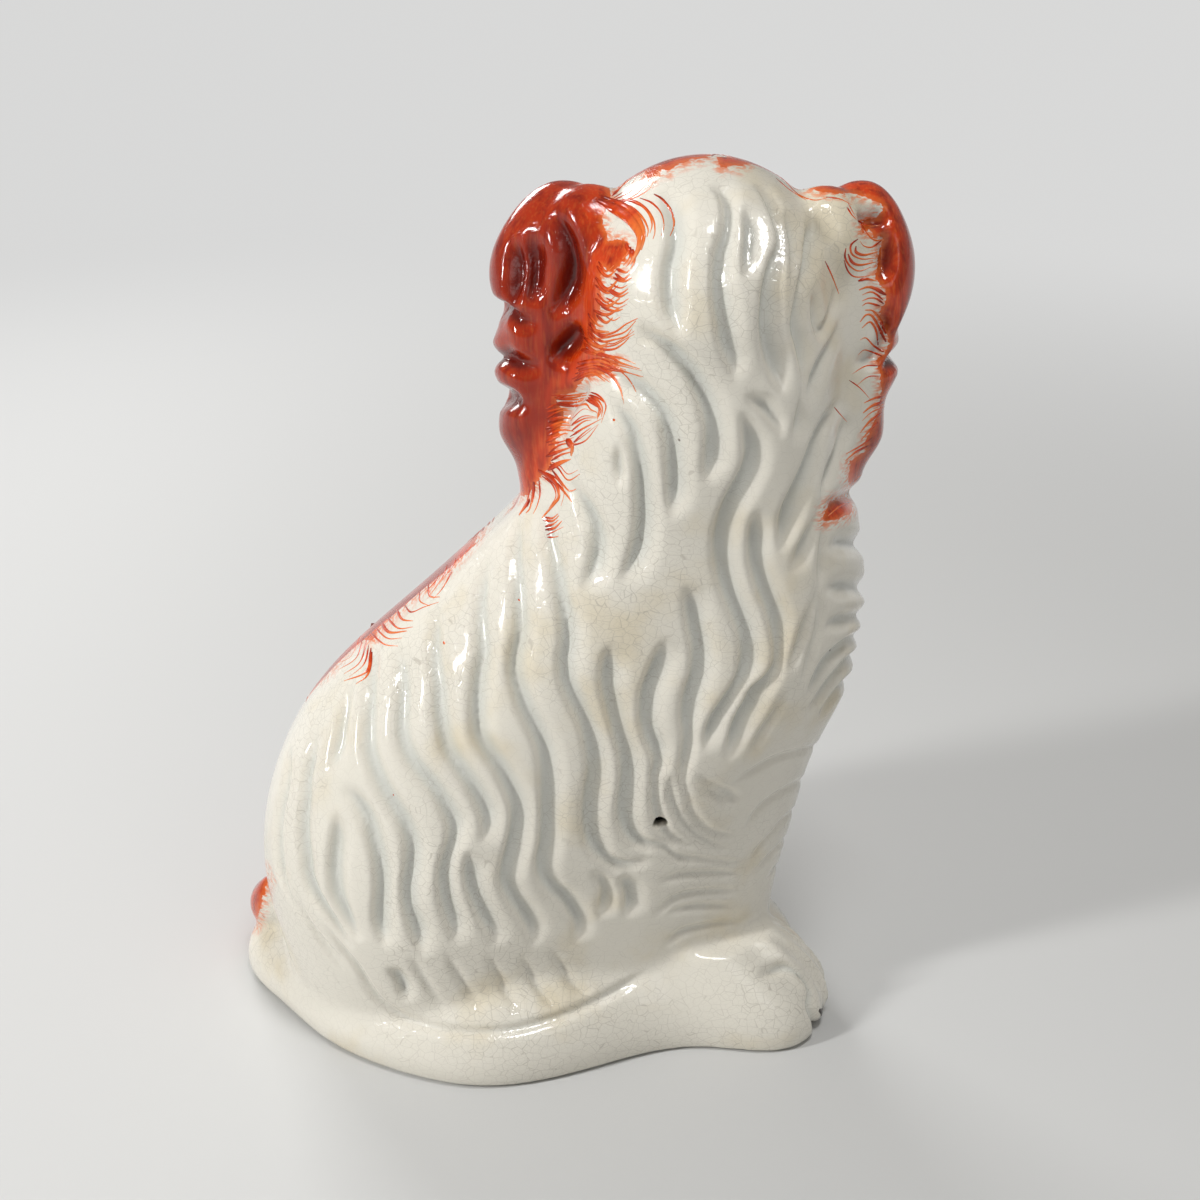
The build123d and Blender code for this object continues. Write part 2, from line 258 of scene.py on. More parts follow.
back_deep = (
    # Crown and nape
    ((709, 180), (719, 191), (723, 205), (723, 218), (720, 233), (715, 249), (713, 267), (713, 284),
     (715, 301), (718, 319), (720, 334), (724, 348), (729, 362), (733, 384)),
    ((660, 188), (665, 205), (668, 224), (667, 242), (662, 262), (661, 285), (664, 306), (671, 325),
     (678, 342)),
    ((752, 180), (762, 190), (769, 203), (774, 217), (778, 231), (777, 244), (772, 255), (768, 269),
     (765, 284), (764, 301), (763, 319), (764, 334), (767, 350), (771, 363), (777, 381), (782, 396)),
    ((805, 208), (809, 222), (808, 243), (806, 259), (800, 280), (797, 300), (795, 322), (799, 340),
     (801, 357), (802, 380), (799, 402), (796, 424), (791, 446)),
    # Shoulder
    ((632, 324), (640, 330), (653, 339), (669, 354), (682, 368), (693, 384), (701, 401), (706, 419),
     (707, 437), (706, 454), (704, 470), (708, 486)),
    ((606, 368), (620, 376), (633, 384), (647, 399), (657, 414), (662, 430), (665, 446), (666, 463),
     (667, 481), (667, 496), (669, 508), (675, 520)),
    ((604, 396), (614, 410), (622, 426), (628, 448), (632, 470), (634, 494), (635, 514), (633, 537),
     (629, 553), (623, 568), (617, 584)),
    ((566, 478), (574, 492), (582, 508), (588, 524), (590, 542), (588, 560), (584, 576), (579, 592)),
    ((538, 502), (541, 520), (543, 537), (547, 556), (551, 576), (555, 598), (559, 618), (560, 640),
     (558, 658), (560, 677), (566, 692), (573, 706), (580, 722), (585, 740), (588, 758), (588, 776),
     (585, 794), (584, 812), (585, 829), (589, 843), (597, 854), (608, 862), (622, 865), (636, 862),
     (650, 858)),
    ((516, 512), (512, 532), (510, 556), (511, 583), (512, 606), (512, 630), (508, 650), (507, 666),
     (510, 680), (516, 698), (523, 714), (531, 730), (538, 748), (541, 766), (542, 784), (542, 804),
     (542, 824), (541, 842), (538, 860), (540, 876), (549, 889), (560, 898), (569, 910), (575, 925),
     (573, 944)),
    # Flank
    ((484, 556), (478, 576), (474, 600), (474, 625), (475, 648), (472, 668), (470, 690), (470, 712),
     (473, 732), (483, 750), (494, 766), (503, 783), (510, 800), (512, 816), (510, 834), (506, 852),
     (502, 868), (502, 884), (510, 899), (520, 913), (528, 929), (530, 948)),
    ((433, 606), (430, 624), (428, 642), (428, 662), (431, 682), (432, 702), (435, 722), (441, 745),
     (453, 765), (465, 782), (475, 799), (481, 814), (482, 829), (477, 845)),
    ((466, 846), (464, 862), (466, 883), (472, 900), (481, 918), (490, 934), (493, 948)),
    ((391, 646), (395, 662), (396, 682), (395, 702), (394, 720), (397, 740), (406, 758), (416, 771),
     (428, 786), (440, 805), (447, 822), (447, 838), (442, 854), (438, 872), (439, 890), (443, 908),
     (449, 925), (454, 946)),
    ((371, 640), (367, 664), (364, 694), (362, 722), (362, 742), (367, 762), (376, 784), (387, 803),
     (397, 820), (404, 840), (404, 862), (401, 884), (402, 904), (408, 922), (414, 939), (422, 958)),
    ((350, 680), (341, 702), (336, 720), (333, 738), (329, 756), (323, 774)),
    ((338, 782), (352, 800), (361, 818), (367, 838), (372, 860), (374, 882), (373, 902), (373, 918),
     (377, 934), (382, 950)),
    ((313, 726), (307, 750), (301, 772), (299, 795), (297, 815), (297, 835), (299, 855), (301, 872),
     (307, 888), (316, 902), (327, 918), (338, 934), (350, 950)),
    ((334, 808), (330, 830), (328, 850), (327, 870), (330, 892), (338, 911), (347, 926), (358, 942)),
    # Middle of the back
    ((608, 640), (603, 660), (602, 680), (605, 698), (610, 718), (615, 736), (620, 753), (622, 770),
     (621, 786), (619, 802), (619, 816), (623, 829), (631, 839), (642, 844), (653, 845), (662, 849),
     (671, 856), (682, 859), (698, 860), (716, 862), (729, 863), (740, 861), (752, 851), (764, 838),
     (780, 822), (792, 811)),
    ((664, 636), (656, 654), (649, 672), (643, 688), (641, 704), (641, 720), (645, 735), (651, 749),
     (653, 762), (650, 776), (650, 790), (651, 805), (655, 821), (663, 834), (673, 840), (685, 845),
     (699, 849), (715, 853), (731, 854)),
    ((684, 582), (685, 597), (687, 612), (690, 628), (693, 644), (693, 660), (691, 674), (687, 687),
     (683, 702), (682, 719), (683, 738), (681, 754), (679, 768), (680, 783), (684, 797), (690, 811),
     (698, 825), (708, 834), (720, 837), (733, 836), (745, 831)),
    ((736, 408), (742, 424), (746, 440), (747, 452), (744, 466), (738, 478), (730, 492), (723, 506),
     (718, 521), (715, 537), (715, 554), (718, 570), (723, 588), (729, 603), (735, 617), (740, 632),
     (742, 648), (741, 662), (736, 678), (728, 692), (719, 706), (710, 720), (704, 737), (702, 754)),
    ((756, 506), (751, 524), (750, 542), (751, 560), (756, 578), (762, 594), (768, 608), (772, 624),
     (774, 640), (774, 655), (771, 669), (762, 682), (751, 692), (745, 704), (738, 716), (732, 730),
     (728, 745), (725, 762)),
    ((692, 776), (702, 781), (715, 788), (727, 797), (737, 806)),
    ((842, 394), (833, 408), (824, 421), (816, 437), (809, 456), (801, 474), (793, 490), (786, 504),
     (781, 520), (779, 538), (778, 556)),
    ((846, 412), (842, 430), (838, 447), (830, 466), (823, 485), (820, 500), (812, 520), (803, 538),
     (796, 553), (789, 574)),
    ((822, 503), (821, 530), (819, 556), (818, 580), (812, 600), (803, 620), (797, 640), (791, 658),
     (786, 676)),
)

back_shallow = (
    # Nape and right of the crown
    ((741, 394), (750, 398), (759, 403), (767, 412), (775, 424), (781, 438)),
    ((840, 320), (833, 339), (824, 354), (815, 372), (809, 390), (803, 408)),
    ((812, 286), (815, 308), (820, 326), (827, 318), (833, 300), (837, 278)),
    ((742, 200), (746, 225), (744, 252), (741, 280)),
    ((783, 205), (791, 232), (791, 260), (788, 288)),
    ((616, 440), (612, 455), (613, 472), (618, 488)),
    ((587, 871), (596, 879), (601, 890), (600, 905), (597, 919)),
    ((617, 875), (624, 888), (626, 903), (624, 918)),
    # Lower left edge of the coat
    ((287, 744), (284, 770), (280, 790), (276, 808), (274, 828), (274, 848), (277, 868), (284, 888),
     (294, 905), (306, 922), (320, 940), (334, 955), (349, 969)),
    ((290, 888), (298, 905), (306, 923), (317, 941), (330, 957), (343, 974)),
    ((318, 921), (327, 934), (339, 950), (352, 966), (364, 984), (377, 1001), (392, 1013)),
    ((384, 966), (394, 980), (399, 992), (406, 1003)),
)
# Rolls on the chest, and the lock that curls above the foreleg
back_rolls = (
    ((822, 524), (826, 513), (833, 505), (842, 499), (852, 495), (866, 490)),
    ((826, 550), (833, 545), (842, 542), (854, 542), (872, 541)),
    ((824, 598), (829, 590), (836, 587), (847, 586), (860, 586), (876, 586)),
    ((825, 638), (828, 629), (834, 623), (844, 620), (856, 618), (872, 614)),
    ((808, 704), (813, 692), (820, 678), (829, 662), (841, 651), (856, 641), (868, 634)),
    ((806, 716), (812, 709), (822, 697), (832, 683), (844, 669), (858, 658)),
    ((818, 722), (826, 710), (836, 696), (848, 684), (858, 676)),
)
back_swirl = (
    ((814, 586), (818, 612), (815, 634), (809, 652), (804, 674), (799, 692)),
    ((784, 688), (779, 702), (770, 718), (760, 732), (752, 748), (745, 764)),
    ((683, 790), (684, 800), (688, 812), (697, 824), (708, 832), (724, 836), (742, 835)),
    ((698, 788), (706, 792), (716, 799), (727, 808)),
    ((668, 772), (667, 786), (669, 800), (675, 815), (685, 829), (697, 839), (711, 846), (732, 851)),
    ((728, 786), (739, 778), (752, 771), (766, 763), (780, 757), (800, 752), (824, 746)),
    ((744, 836), (748, 824), (755, 813), (764, 804), (775, 796), (789, 788), (812, 776)),
    ((744, 868), (752, 856), (762, 844), (773, 832), (786, 818), (802, 804)),
    ((746, 878), (758, 868), (770, 856), (782, 843), (796, 830)),
    ((762, 884), (772, 873), (782, 862), (794, 850)),
    ((656, 884), (664, 879), (676, 876), (693, 875), (712, 874), (730, 874), (746, 872)),
    ((653, 918), (660, 908), (670, 900), (684, 895), (702, 893), (722, 892), (742, 892)),
    ((662, 916), (672, 911), (686, 908), (702, 907), (720, 907), (738, 908)),
    ((660, 950), (668, 940), (680, 932), (696, 928), (714, 925), (732, 924), (746, 925)),
)
# Ends of the locks, and the hem of the coat over the foot
back_hem = (
    ((404, 952), (414, 972), (428, 994), (446, 1012)),
    ((440, 950), (451, 972), (466, 994), (485, 1014)),
    ((482, 954), (493, 976), (507, 996), (524, 1013)),
    ((514, 954), (526, 974), (541, 992), (558, 1006)),
    ((545, 950), (558, 968), (573, 983), (592, 995)),
    ((352, 976), (372, 998), (396, 1014), (430, 1024), (470, 1029), (512, 1026), (552, 1015), (590, 999),
     (622, 982), (650, 968)),
)

# Partings of the front and of the ears, in millimetres across and up
front_deep = (
    # Chest and foreleg
    ((-67, 143), (-70, 132), (-66, 120), (-69, 107), (-65, 94), (-67, 82), (-64, 70), (-64, 58)),
    ((-60, 138), (-62, 128), (-58, 117), (-61, 105), (-57, 93), (-58, 80), (-56, 66), (-57, 52)),
    ((-51, 136), (-52, 124), (-48, 113), (-50, 101), (-47, 89), (-48, 77)),
    ((-42, 130), (-43, 120), (-39, 110), (-41, 98), (-37, 86), (-38, 74), (-34, 62), (-35, 50)),
    ((-32, 134), (-34, 123), (-30, 112), (-32, 100), (-27, 89), (-28, 77), (-24, 66), (-25, 54)),
    # Neck, between muzzle and collar
    ((-66, 186), (-68, 177), (-65, 168), (-66, 160)),
    ((-57, 178), (-59, 171), (-56, 164), (-57, 157)),
    ((-48, 176), (-49, 169), (-46, 162), (-47, 156)),
    ((-39, 175), (-40, 168), (-37, 161), (-38, 155)),
    ((-30, 176), (-31, 169), (-28, 162), (-28, 156)),
    ((-21, 179), (-22, 172), (-19, 165), (-19, 158)),
    ((-13, 186), (-14, 177), (-11, 169), (-11, 162)),
    # Shoulder and side, under the chain
    ((-22, 112), (-20, 101), (-22, 91), (-17, 80), (-18, 69), (-14, 58), (-15, 48)),
    ((-12, 104), (-9, 95), (-11, 85), (-6, 75), (-7, 64), (-3, 54), (-4, 45)),
    ((-1, 100), (2, 91), (0, 82), (5, 72), (3, 63)),
    ((10, 98), (13, 90), (11, 81), (16, 73), (15, 65)),
    ((22, 98), (25, 91), (23, 84), (28, 78)),
    # Side above the chain, down from the spine
    ((2, 150), (-3, 142), (-1, 134), (-7, 126), (-6, 118)),
    ((12, 143), (7, 135), (9, 127), (3, 119), (4, 111)),
    ((22, 134), (17, 127), (19, 119), (13, 112)),
    ((32, 126), (27, 119), (29, 112), (24, 106)),
    ((42, 118), (38, 111), (40, 104), (36, 98)),
    ((54, 108), (50, 100), (51, 92), (46, 86)),
    ((66, 96), (62, 90), (64, 82), (60, 76)),
    # Haunch
    ((28, 82), (22, 72), (23, 60), (17, 50), (20, 38), (16, 30)),
    ((38, 86), (32, 75), (33, 62), (27, 51), (30, 39), (26, 30)),
    ((48, 84), (43, 73), (44, 61), (38, 50), (41, 39), (37, 30)),
    ((58, 80), (53, 70), (55, 58), (49, 48), (51, 38), (47, 31)),
    ((68, 74), (64, 64), (66, 54), (60, 45), (62, 36), (58, 31)),
    ((77, 64), (73, 56), (75, 47), (70, 39), (71, 33)),
)
front_shallow = (
    # Ears
    ((-86, 232), (-90, 220), (-85, 208), (-88, 196), (-82, 184), (-83, 172), (-78, 162)),
    ((-79, 236), (-82, 224), (-77, 212), (-80, 199), (-75, 187), (-76, 175), (-72, 165)),
    ((8, 234), (12, 222), (7, 210), (11, 198), (6, 186), (8, 174), (3, 162)),
    ((0, 238), (3, 226), (-2, 213), (2, 201), (-3, 188), (0, 176), (-4, 165)),
    # Edge of the ears against the face
    ((-66, 232), (-71, 222), (-72, 208), (-70, 194), (-72, 180), (-69, 168)),
    ((-14, 232), (-9, 222), (-8, 208), (-10, 194), (-9, 180), (-11, 166)),
    # Mouth, and the lip under the nose
    ((-56, 190), (-52, 185), (-46, 184.5), (-42, 187), (-40, 190), (-38, 187), (-34, 184.5), (-28, 185),
     (-24, 190)),
    # Feathering behind the foreleg, toes, and the hind foot
    ((-30, 60), (-25, 52), (-24, 44), (-20, 38)),
    ((-33, 50), (-29, 43), (-28, 37), (-24, 32)),
    ((0, 44), (-4, 40), (-7, 34)),
    # Tail
    ((84, 30), (80, 24), (78, 18)),
    ((76, 26), (72, 20), (71, 13)),
    ((66, 22), (62, 16), (61, 9)),
    ((56, 19), (52, 13), (51, 7)),
)

# Hollows of the ears, by pixels of the photograph
ear_hollows = (
    ((549, 210), (558, 225), (566, 243), (570, 262), (569, 282), (562, 301), (551, 318)),
    ((526, 232), (531, 250), (534, 270), (533, 290), (528, 308)),
    ((511, 236), (514, 254), (515, 274), (513, 292), (508, 310)),
    ((484, 312), (498, 311), (508, 316), (522, 322), (542, 322)),
    ((484, 358), (500, 356), (512, 362), (528, 366), (544, 360)),
    ((490, 398), (504, 398), (518, 404), (534, 410)),
    ((578, 322), (570, 340), (560, 352), (552, 366)),
    ((590, 384), (578, 392), (566, 404), (560, 420), (556, 440)),
    ((858, 214), (870, 218), (880, 216), (886, 206)),
    ((884, 224), (888, 240), (888, 258), (882, 274), (876, 282)),
    ((880, 306), (884, 322), (886, 340), (880, 354), (868, 360), (854, 366)),
    ((906, 352), (896, 362), (886, 370), (876, 376)),
)
# Clefts of the hind paw and between the forepaws, by pixels
paw_clefts = (
    ((758, 979), (768, 972), (783, 968), (799, 971), (810, 980), (814, 994), (812, 1006), (816, 1016),
     (819, 1032)),
)


def smooth_way(points, step):
    """Points of one smooth line through these, about a step apart."""
    ways = [Vector(p) for p in points]
    ways = [2 * ways[0] - ways[1], *ways, 2 * ways[-1] - ways[-2]]
    found = []
    for i in range(1, len(ways) - 2):
        a, b, c, d = ways[i - 1:i + 3]
        pieces = max(2, int((c - b).length / step))
        for j in range(pieces):
            t = j / pieces
            curve = 2 * b + (c - a) * t + (2 * a - 5 * b + 4 * c - d) * t * t
            found.append((curve + (3 * b - a - 3 * c + d) * t ** 3) / 2)
    return [*found, ways[-2]]


def wrapped(tree, start, heading, reach):
    """Points of a line carried on round the body from where it leaves the view."""
    found = []
    here = start
    for _ in range(int(reach / WRAP_STEP)):
        place, normal = tree.find_nearest(here + heading * WRAP_STEP)[:2]
        heading = place - here
        heading = (heading - normal * heading.dot(normal)).normalized()
        here = place
        found.append(here)
    return found


def laid_from_photo(tree, points, step=PARTING_STEP_PX, wrap=WRAP_REACH):
    """Line through pixels of the photograph, laid on the body."""
    hits = []
    missed = [False, False]
    for place in smooth_way(points, step):
        hit = tree.ray_cast(EYE, sight(*place))[0]
        if hit is not None:
            hits.append(hit)
        else:
            missed[1 if hits else 0] = True
    if missed[0]:
        hits = list(reversed(wrapped(tree, hits[0], (hits[0] - hits[2]).normalized(), wrap))) + hits
    if missed[1]:
        hits = hits + wrapped(tree, hits[-1], (hits[-1] - hits[-3]).normalized(), wrap)
    return hits


def laid_from_front(tree, points, step=FRONT_STEP_MM):
    """Line through places of the front, in millimetres across and up."""
    hits = []
    for place in smooth_way(points, step):
        start = Vector((place.x / 1000, RAYS_FROM_Y, place.y / 1000))
        hit = tree.ray_cast(start, Vector((0, 1, 0)))[0]
        if hit is not None:
            hits.append(hit)
    return hits


# A lock rises slowly from one parting and drops quickly into the next, and the
# drop faces down and towards the chest. Close partings are finer ones.
DROP_WAY = Vector((-1, 0, 0)) * 0.86 - UPWARD * 0.5
DROP_SHIFT = 0.0009
LOCK_LEAN = 0.36
LEAST_LOCK, GREATEST_LOCK, FINE_LOCK = 0.0024, 0.0074, 0.0027
DEEPEST = 0.0038
REACH_SHARE, DEPTH_SHARE = 0.9, 0.50
# Widest spacing that counts, how far off lines are compared, how squarely the
# next line has to lie, and over how many points each way the spacing is evened
WIDEST_GAP, COMPARED_WITHIN, SQUARE_SHARE, EVEN_POINTS = 0.010, 0.09, 0.3, 8
CLEAR_LOCKS = 2.1


def spacings(lines):
    """How far each point of a line is from the next line below or chestwards."""
    way = np.array(DROP_WAY.normalized())
    arrays = [np.array(line) for line in lines]
    found = []
    for i, line in enumerate(arrays):
        others = np.concatenate([other for j, other in enumerate(arrays) if j != i])
        others = others[(np.abs(others - line.mean(axis=0)) < COMPARED_WITHIN).all(axis=1)]
        gap = others[None, :, :] - line[:, None, :]
        away = np.linalg.norm(gap, axis=2)
        away[gap @ way < SQUARE_SHARE * away] = 1
        nearest = np.pad(np.minimum(away.min(axis=1), WIDEST_GAP), EVEN_POINTS, mode="edge")
        window = 2 * EVEN_POINTS + 1
        found.append(np.convolve(nearest, np.ones(window) / window, mode="valid"))
    return found


def apart(lines, reach):
    """Numbers for the lines, so that no two lines of one number come near."""
    arrays = [np.array(line)[::3] for line in lines]
    numbers = []
    for i, line in enumerate(arrays):
        taken = set()
        for j in range(i):
            gap = np.linalg.norm(arrays[j][None, :, :] - line[:, None, :], axis=2).min()
            if gap < reach:
                taken.add(numbers[j])
        numbers.append(min(set(range(len(lines))) - taken))
    return numbers


def parting_mesh(name, kinds):
    """Edges along all partings, with each point's reach, depth, lean and number.

    Each kind: its lines, share of the depth, lean, and reach if it is set."""
    lines = [line for kind in kinds for line in kind[0]]
    gaps = spacings(lines)
    numbers = apart(lines, CLEAR_LOCKS * GREATEST_LOCK)
    points, edges, reaches, depths, leans, marks = [], [], [], [], [], []
    turn = 0
    for group, depth_share, lean, width in kinds:
        for line in group:
            along = [0]
            for a, b in zip(line, line[1:]):
                along.append(along[-1] + (b - a).length)
            fade = min(FADE_REACH, along[-1] / 2.5)
            for i, place in enumerate(line):
                keep = sin(pi / 2 * min(1, min(along[i], along[-1] - along[i]) / fade))
                reach = width or min(GREATEST_LOCK, max(LEAST_LOCK, REACH_SHARE * gaps[turn][i]))
                reaches.append(reach)
                steeper = 1 + (FINE_LOCK / reach) ** 2
                depths.append(keep * depth_share * min(DEEPEST, DEPTH_SHARE * reach * steeper))
                leans.append(lean)
                marks.append(numbers[turn])
                if i:
                    edges.append((len(points) - 1, len(points)))
                points.append(place + DROP_WAY * DROP_SHIFT * lean)
            turn += 1
    mesh = bpy.data.meshes.new(name)
    mesh.from_pydata(points, edges, [])
    for title, values in (("reach", reaches), ("deep", depths), ("lean", leans)):
        mesh.attributes.new(title, "FLOAT", "POINT").data.foreach_set("value", values)
    mesh.attributes.new("number", "INT", "POINT").data.foreach_set("value", marks)
    return new_piece(name, mesh), max(marks) + 1


skin_tree = BVHTree.FromObject(skin, bpy.context.evaluated_depsgraph_get())
partings, parting_sets = parting_mesh("partings", (
    ([laid_from_photo(skin_tree, line) for line in back_deep], 1.0, 1.0, None),
    ([laid_from_photo(skin_tree, line) for line in back_shallow], 0.85, 1.0, None),
    ([laid_from_photo(skin_tree, line, wrap=ROLL_WRAP) for line in back_rolls], 0.95, 0.3, 0.0052),
    ([laid_from_photo(skin_tree, line) for line in back_swirl], 0.90, 0.8, 0.0036),
    ([laid_from_photo(skin_tree, line) for line in back_hem], 0.70, 1.0, 0.0042),
    ([laid_from_front(skin_tree, line) for line in front_deep], 0.8, 0.6, None),
    ([laid_from_front(skin_tree, line) for line in front_shallow], 0.65, 0.3, 0.0038),
    ([laid_from_photo(skin_tree, line) for line in ear_hollows], 1.45, 0.0, 0.0046),
    ([laid_from_photo(skin_tree, line) for line in paw_clefts], 1.1, 0.0, 0.0032),
))


class Nodes:
    """Short ways to add nodes to one tree and to join them."""

    def __init__(self, tree):
        self.tree = tree

    def add(self, kind, inputs=(), **settings):
        node = self.tree.nodes.new(kind)
        for title, value in settings.items():
            setattr(node, title, value)
        for socket, value in dict(inputs).items():
            self.put(node.inputs[socket], value)
        return node

    def put(self, socket, value):
        if isinstance(value, bpy.types.NodeSocket):
            self.tree.links.new(value, socket)
        else:
            socket.default_value = value

    def maths(self, operation, *values, clamp=False):
        node = self.add("ShaderNodeMath", enumerate(values), operation=operation, use_clamp=clamp)
        return node.outputs[0]

    def vector(self, operation, *values):
        node = self.add("ShaderNodeVectorMath", enumerate(values), operation=operation)
        return node.outputs["Value" if operation in ("LENGTH", "DOT_PRODUCT") else "Vector"]

    def named(self, title, kind="FLOAT"):
        node = self.add("GeometryNodeInputNamedAttribute", {"Name": title}, data_type=kind)
        return node.outputs["Attribute"]

    def kept(self, geometry, title, value):
        inputs = {"Geometry": geometry, "Name": title, "Value": value}
        node = self.add("GeometryNodeStoreNamedAttribute", inputs, data_type="FLOAT", domain="POINT")
        return node.outputs["Geometry"]


def new_group(name, kinds):
    """A tree with these inputs: the tree, their keys, its nodes, what is given and the result."""
    tree = bpy.data.node_groups.new(name, "GeometryNodeTree")
    face = tree.interface
    face.new_socket("Geometry", in_out="INPUT", socket_type="NodeSocketGeometry")
    keys = {}
    for title, kind in kinds.items():
        keys[title] = face.new_socket(title, in_out="INPUT", socket_type="NodeSocket" + kind).identifier
    face.new_socket("Geometry", in_out="OUTPUT", socket_type="NodeSocketGeometry")
    given = tree.nodes.new("NodeGroupInput").outputs
    result = tree.nodes.new("NodeGroupOutput").inputs["Geometry"]
    return tree, keys, Nodes(tree), given, result


def worked(piece, group, values):
    """Gives the piece the mesh that a group makes of it with these inputs."""
    work = piece.modifiers.new("work", "NODES")
    work.node_group = group[0]
    for title, value in values.items():
        work[group[1][title]] = value
    mesh = evaluated_mesh(piece)
    piece.modifiers.remove(work)
    piece.data = mesh
    return mesh


def enabled(sockets):
    return [socket for socket in sockets if socket.enabled]


def comb_coat():
    """Group that finds how deep the partings press each point, kept as sink."""
    tree, keys, n, given, result = new_group("comb_coat", {
        "Partings": "Object", "Sets": "Int", "Drop way": "Vector", "Lean": "Float", "Roundness": "Float",
        "Slant": "Float", "Merge": "Float", "Even passes": "Int"})
    start = tree.nodes.new("GeometryNodeRepeatInput")
    stop = tree.nodes.new("GeometryNodeRepeatOutput")
    start.pair_with_output(stop)
    n.put(start.inputs["Iterations"], given["Sets"])
    n.put(start.inputs["Geometry"], n.kept(given["Geometry"], "sink", 0.0))
    source = n.add("GeometryNodeObjectInfo", {"Object": given["Partings"]}).outputs["Geometry"]
    same = n.add("FunctionNodeCompare", data_type="INT", operation="EQUAL")
    for socket, value in zip(enabled(same.inputs), (n.named("number", "INT"), start.outputs["Iteration"])):
        n.put(socket, value)
    lines = n.add("GeometryNodeSeparateGeometry", domain="POINT",
                  inputs={"Geometry": source, "Selection": same.outputs["Result"]}).outputs["Selection"]
    near = n.add("GeometryNodeProximity", {0: lines}, target_element="EDGES")
    pick = n.add("GeometryNodeSampleNearest", domain="POINT",
                 inputs={"Geometry": lines, "Sample Position": near.outputs["Position"]})

    def on_line(title):
        sample = n.add("GeometryNodeSampleIndex", data_type="FLOAT", domain="POINT",
                       inputs={"Geometry": lines, "Value": n.named(title), "Index": pick.outputs["Index"]})
        return enabled(sample.outputs)[0]

    place = n.add("GeometryNodeInputPosition").outputs[0]
    away = n.maths("MAXIMUM", near.outputs["Distance"], 1e-6)
    offset = n.vector("SUBTRACT", place, near.outputs["Position"])
    side = n.maths("DIVIDE", n.vector("DOT_PRODUCT", offset, given["Drop way"]), away)
    lean = n.maths("MULTIPLY", on_line("lean"), given["Lean"])
    share = n.maths("SUBTRACT", 1.0, n.maths("MULTIPLY", lean, n.maths("SUBTRACT", 1.0, side)))
    reach = n.maths("MULTIPLY", on_line("reach"), share)
    rest = n.maths("SUBTRACT", 1.0, n.maths("DIVIDE", away, reach, clamp=True))
    slant = n.maths("MULTIPLY", side, n.maths("MULTIPLY", lean, given["Slant"]))
    slope = n.maths("SUBTRACT", given["Roundness"], slant)
    sink = n.maths("MULTIPLY", n.maths("POWER", rest, slope), on_line("deep"))
    both = n.maths("SMOOTH_MAX", n.named("sink"), sink, given["Merge"])
    n.put(stop.inputs["Geometry"], n.kept(start.outputs["Geometry"], "sink", both))
    even = n.add("GeometryNodeBlurAttribute", {0: n.named("sink"), "Iterations": given["Even passes"]},
                 data_type="FLOAT")
    n.put(result, n.kept(stop.outputs["Geometry"], "sink", enabled(even.outputs)[0]))
    return tree, keys


combed = worked(skin, comb_coat(), {
    "Partings": partings,
    "Sets": parting_sets,
    "Drop way": DROP_WAY.normalized(),
    "Lean": LOCK_LEAN,
    "Roundness": 1.4,
    "Slant": 0.9,
    "Merge": 0.0004,
    "Even passes": 1,
})
bpy.data.objects.remove(partings)


def read_values(mesh, title):
    values = np.empty(len(mesh.vertices))
    mesh.attributes[title].data.foreach_get("value", values)
    return values


def read_normals(mesh):
    flat = np.empty(len(mesh.vertices) * 3)
    mesh.vertices.foreach_get("normal", flat)
    return flat.reshape(-1, 3)


NORMAL_PASSES = 6
sink = read_values(combed, "sink")
smooth_normals = evened(read_normals(combed), skin_edges, NORMAL_PASSES)
smooth_normals /= np.linalg.norm(smooth_normals, axis=1)[:, None]
points = read_points(combed) - smooth_normals * sink[:, None]
write_points(combed, points)

# Enamel. Iron red is brushed over the fired glaze on the ears, crown, flank and
# tail, with the face in black and ochre, and fired on. Here is where each colour
# ends, kept on the clay as millimetres inside (above 0) or outside its edge.
red_from_photo = (
    # Left ear and the tip that trails from it
    ((600, 150), (612, 200), (606, 208), (603, 215), (605, 230), (609, 240), (622, 239), (628, 243),
     (627, 258), (618, 267), (612, 273), (602, 266), (600, 315), (596, 325), (590, 350), (600, 355),
     (620, 362), (612, 372), (600, 375), (585, 378), (578, 385), (575, 392), (560, 395), (556, 400),
     (562, 408), (565, 415), (560, 430), (555, 445), (552, 460), (548, 470), (540, 478), (532, 490),
     (527, 495), (470, 505), (440, 300), (470, 140)),
    # Crown
    ((642, 166), (647, 181), (653, 178), (662, 169), (668, 172), (676, 165), (692, 160), (709, 157),
     (709, 120), (638, 120)),
    ((714, 152), (721, 168), (728, 166), (739, 167), (752, 161), (752, 120), (714, 120)),
    # Right ear and its tip
    ((806, 188), (830, 193), (855, 194), (872, 200), (884, 206), (878, 217), (862, 221), (860, 230),
     (872, 238), (884, 236), (881, 246), (877, 258), (878, 268), (874, 277), (881, 285), (886, 292),
     (885, 302), (879, 311), (880, 320), (886, 332), (889, 344), (884, 354), (875, 360), (880, 372),
     (881, 396), (878, 410), (872, 428), (866, 440), (864, 452), (850, 462), (848, 480), (853, 495),
     (880, 500), (940, 400), (940, 170), (860, 150)),
    ((822, 523), (824, 510), (832, 500), (845, 496), (852, 500), (852, 512), (840, 519)),
    # Flank, tail and stray touches
    ((480, 530), (463, 552), (450, 567), (437, 578), (424, 588), (408, 600), (398, 610), (390, 618),
     (378, 628), (373, 640), (360, 640), (350, 643), (340, 655), (330, 667), (320, 676), (300, 680),
     (290, 600), (400, 510)),
    ((240, 860), (262, 868), (268, 880), (262, 900), (256, 925), (236, 930)),
)
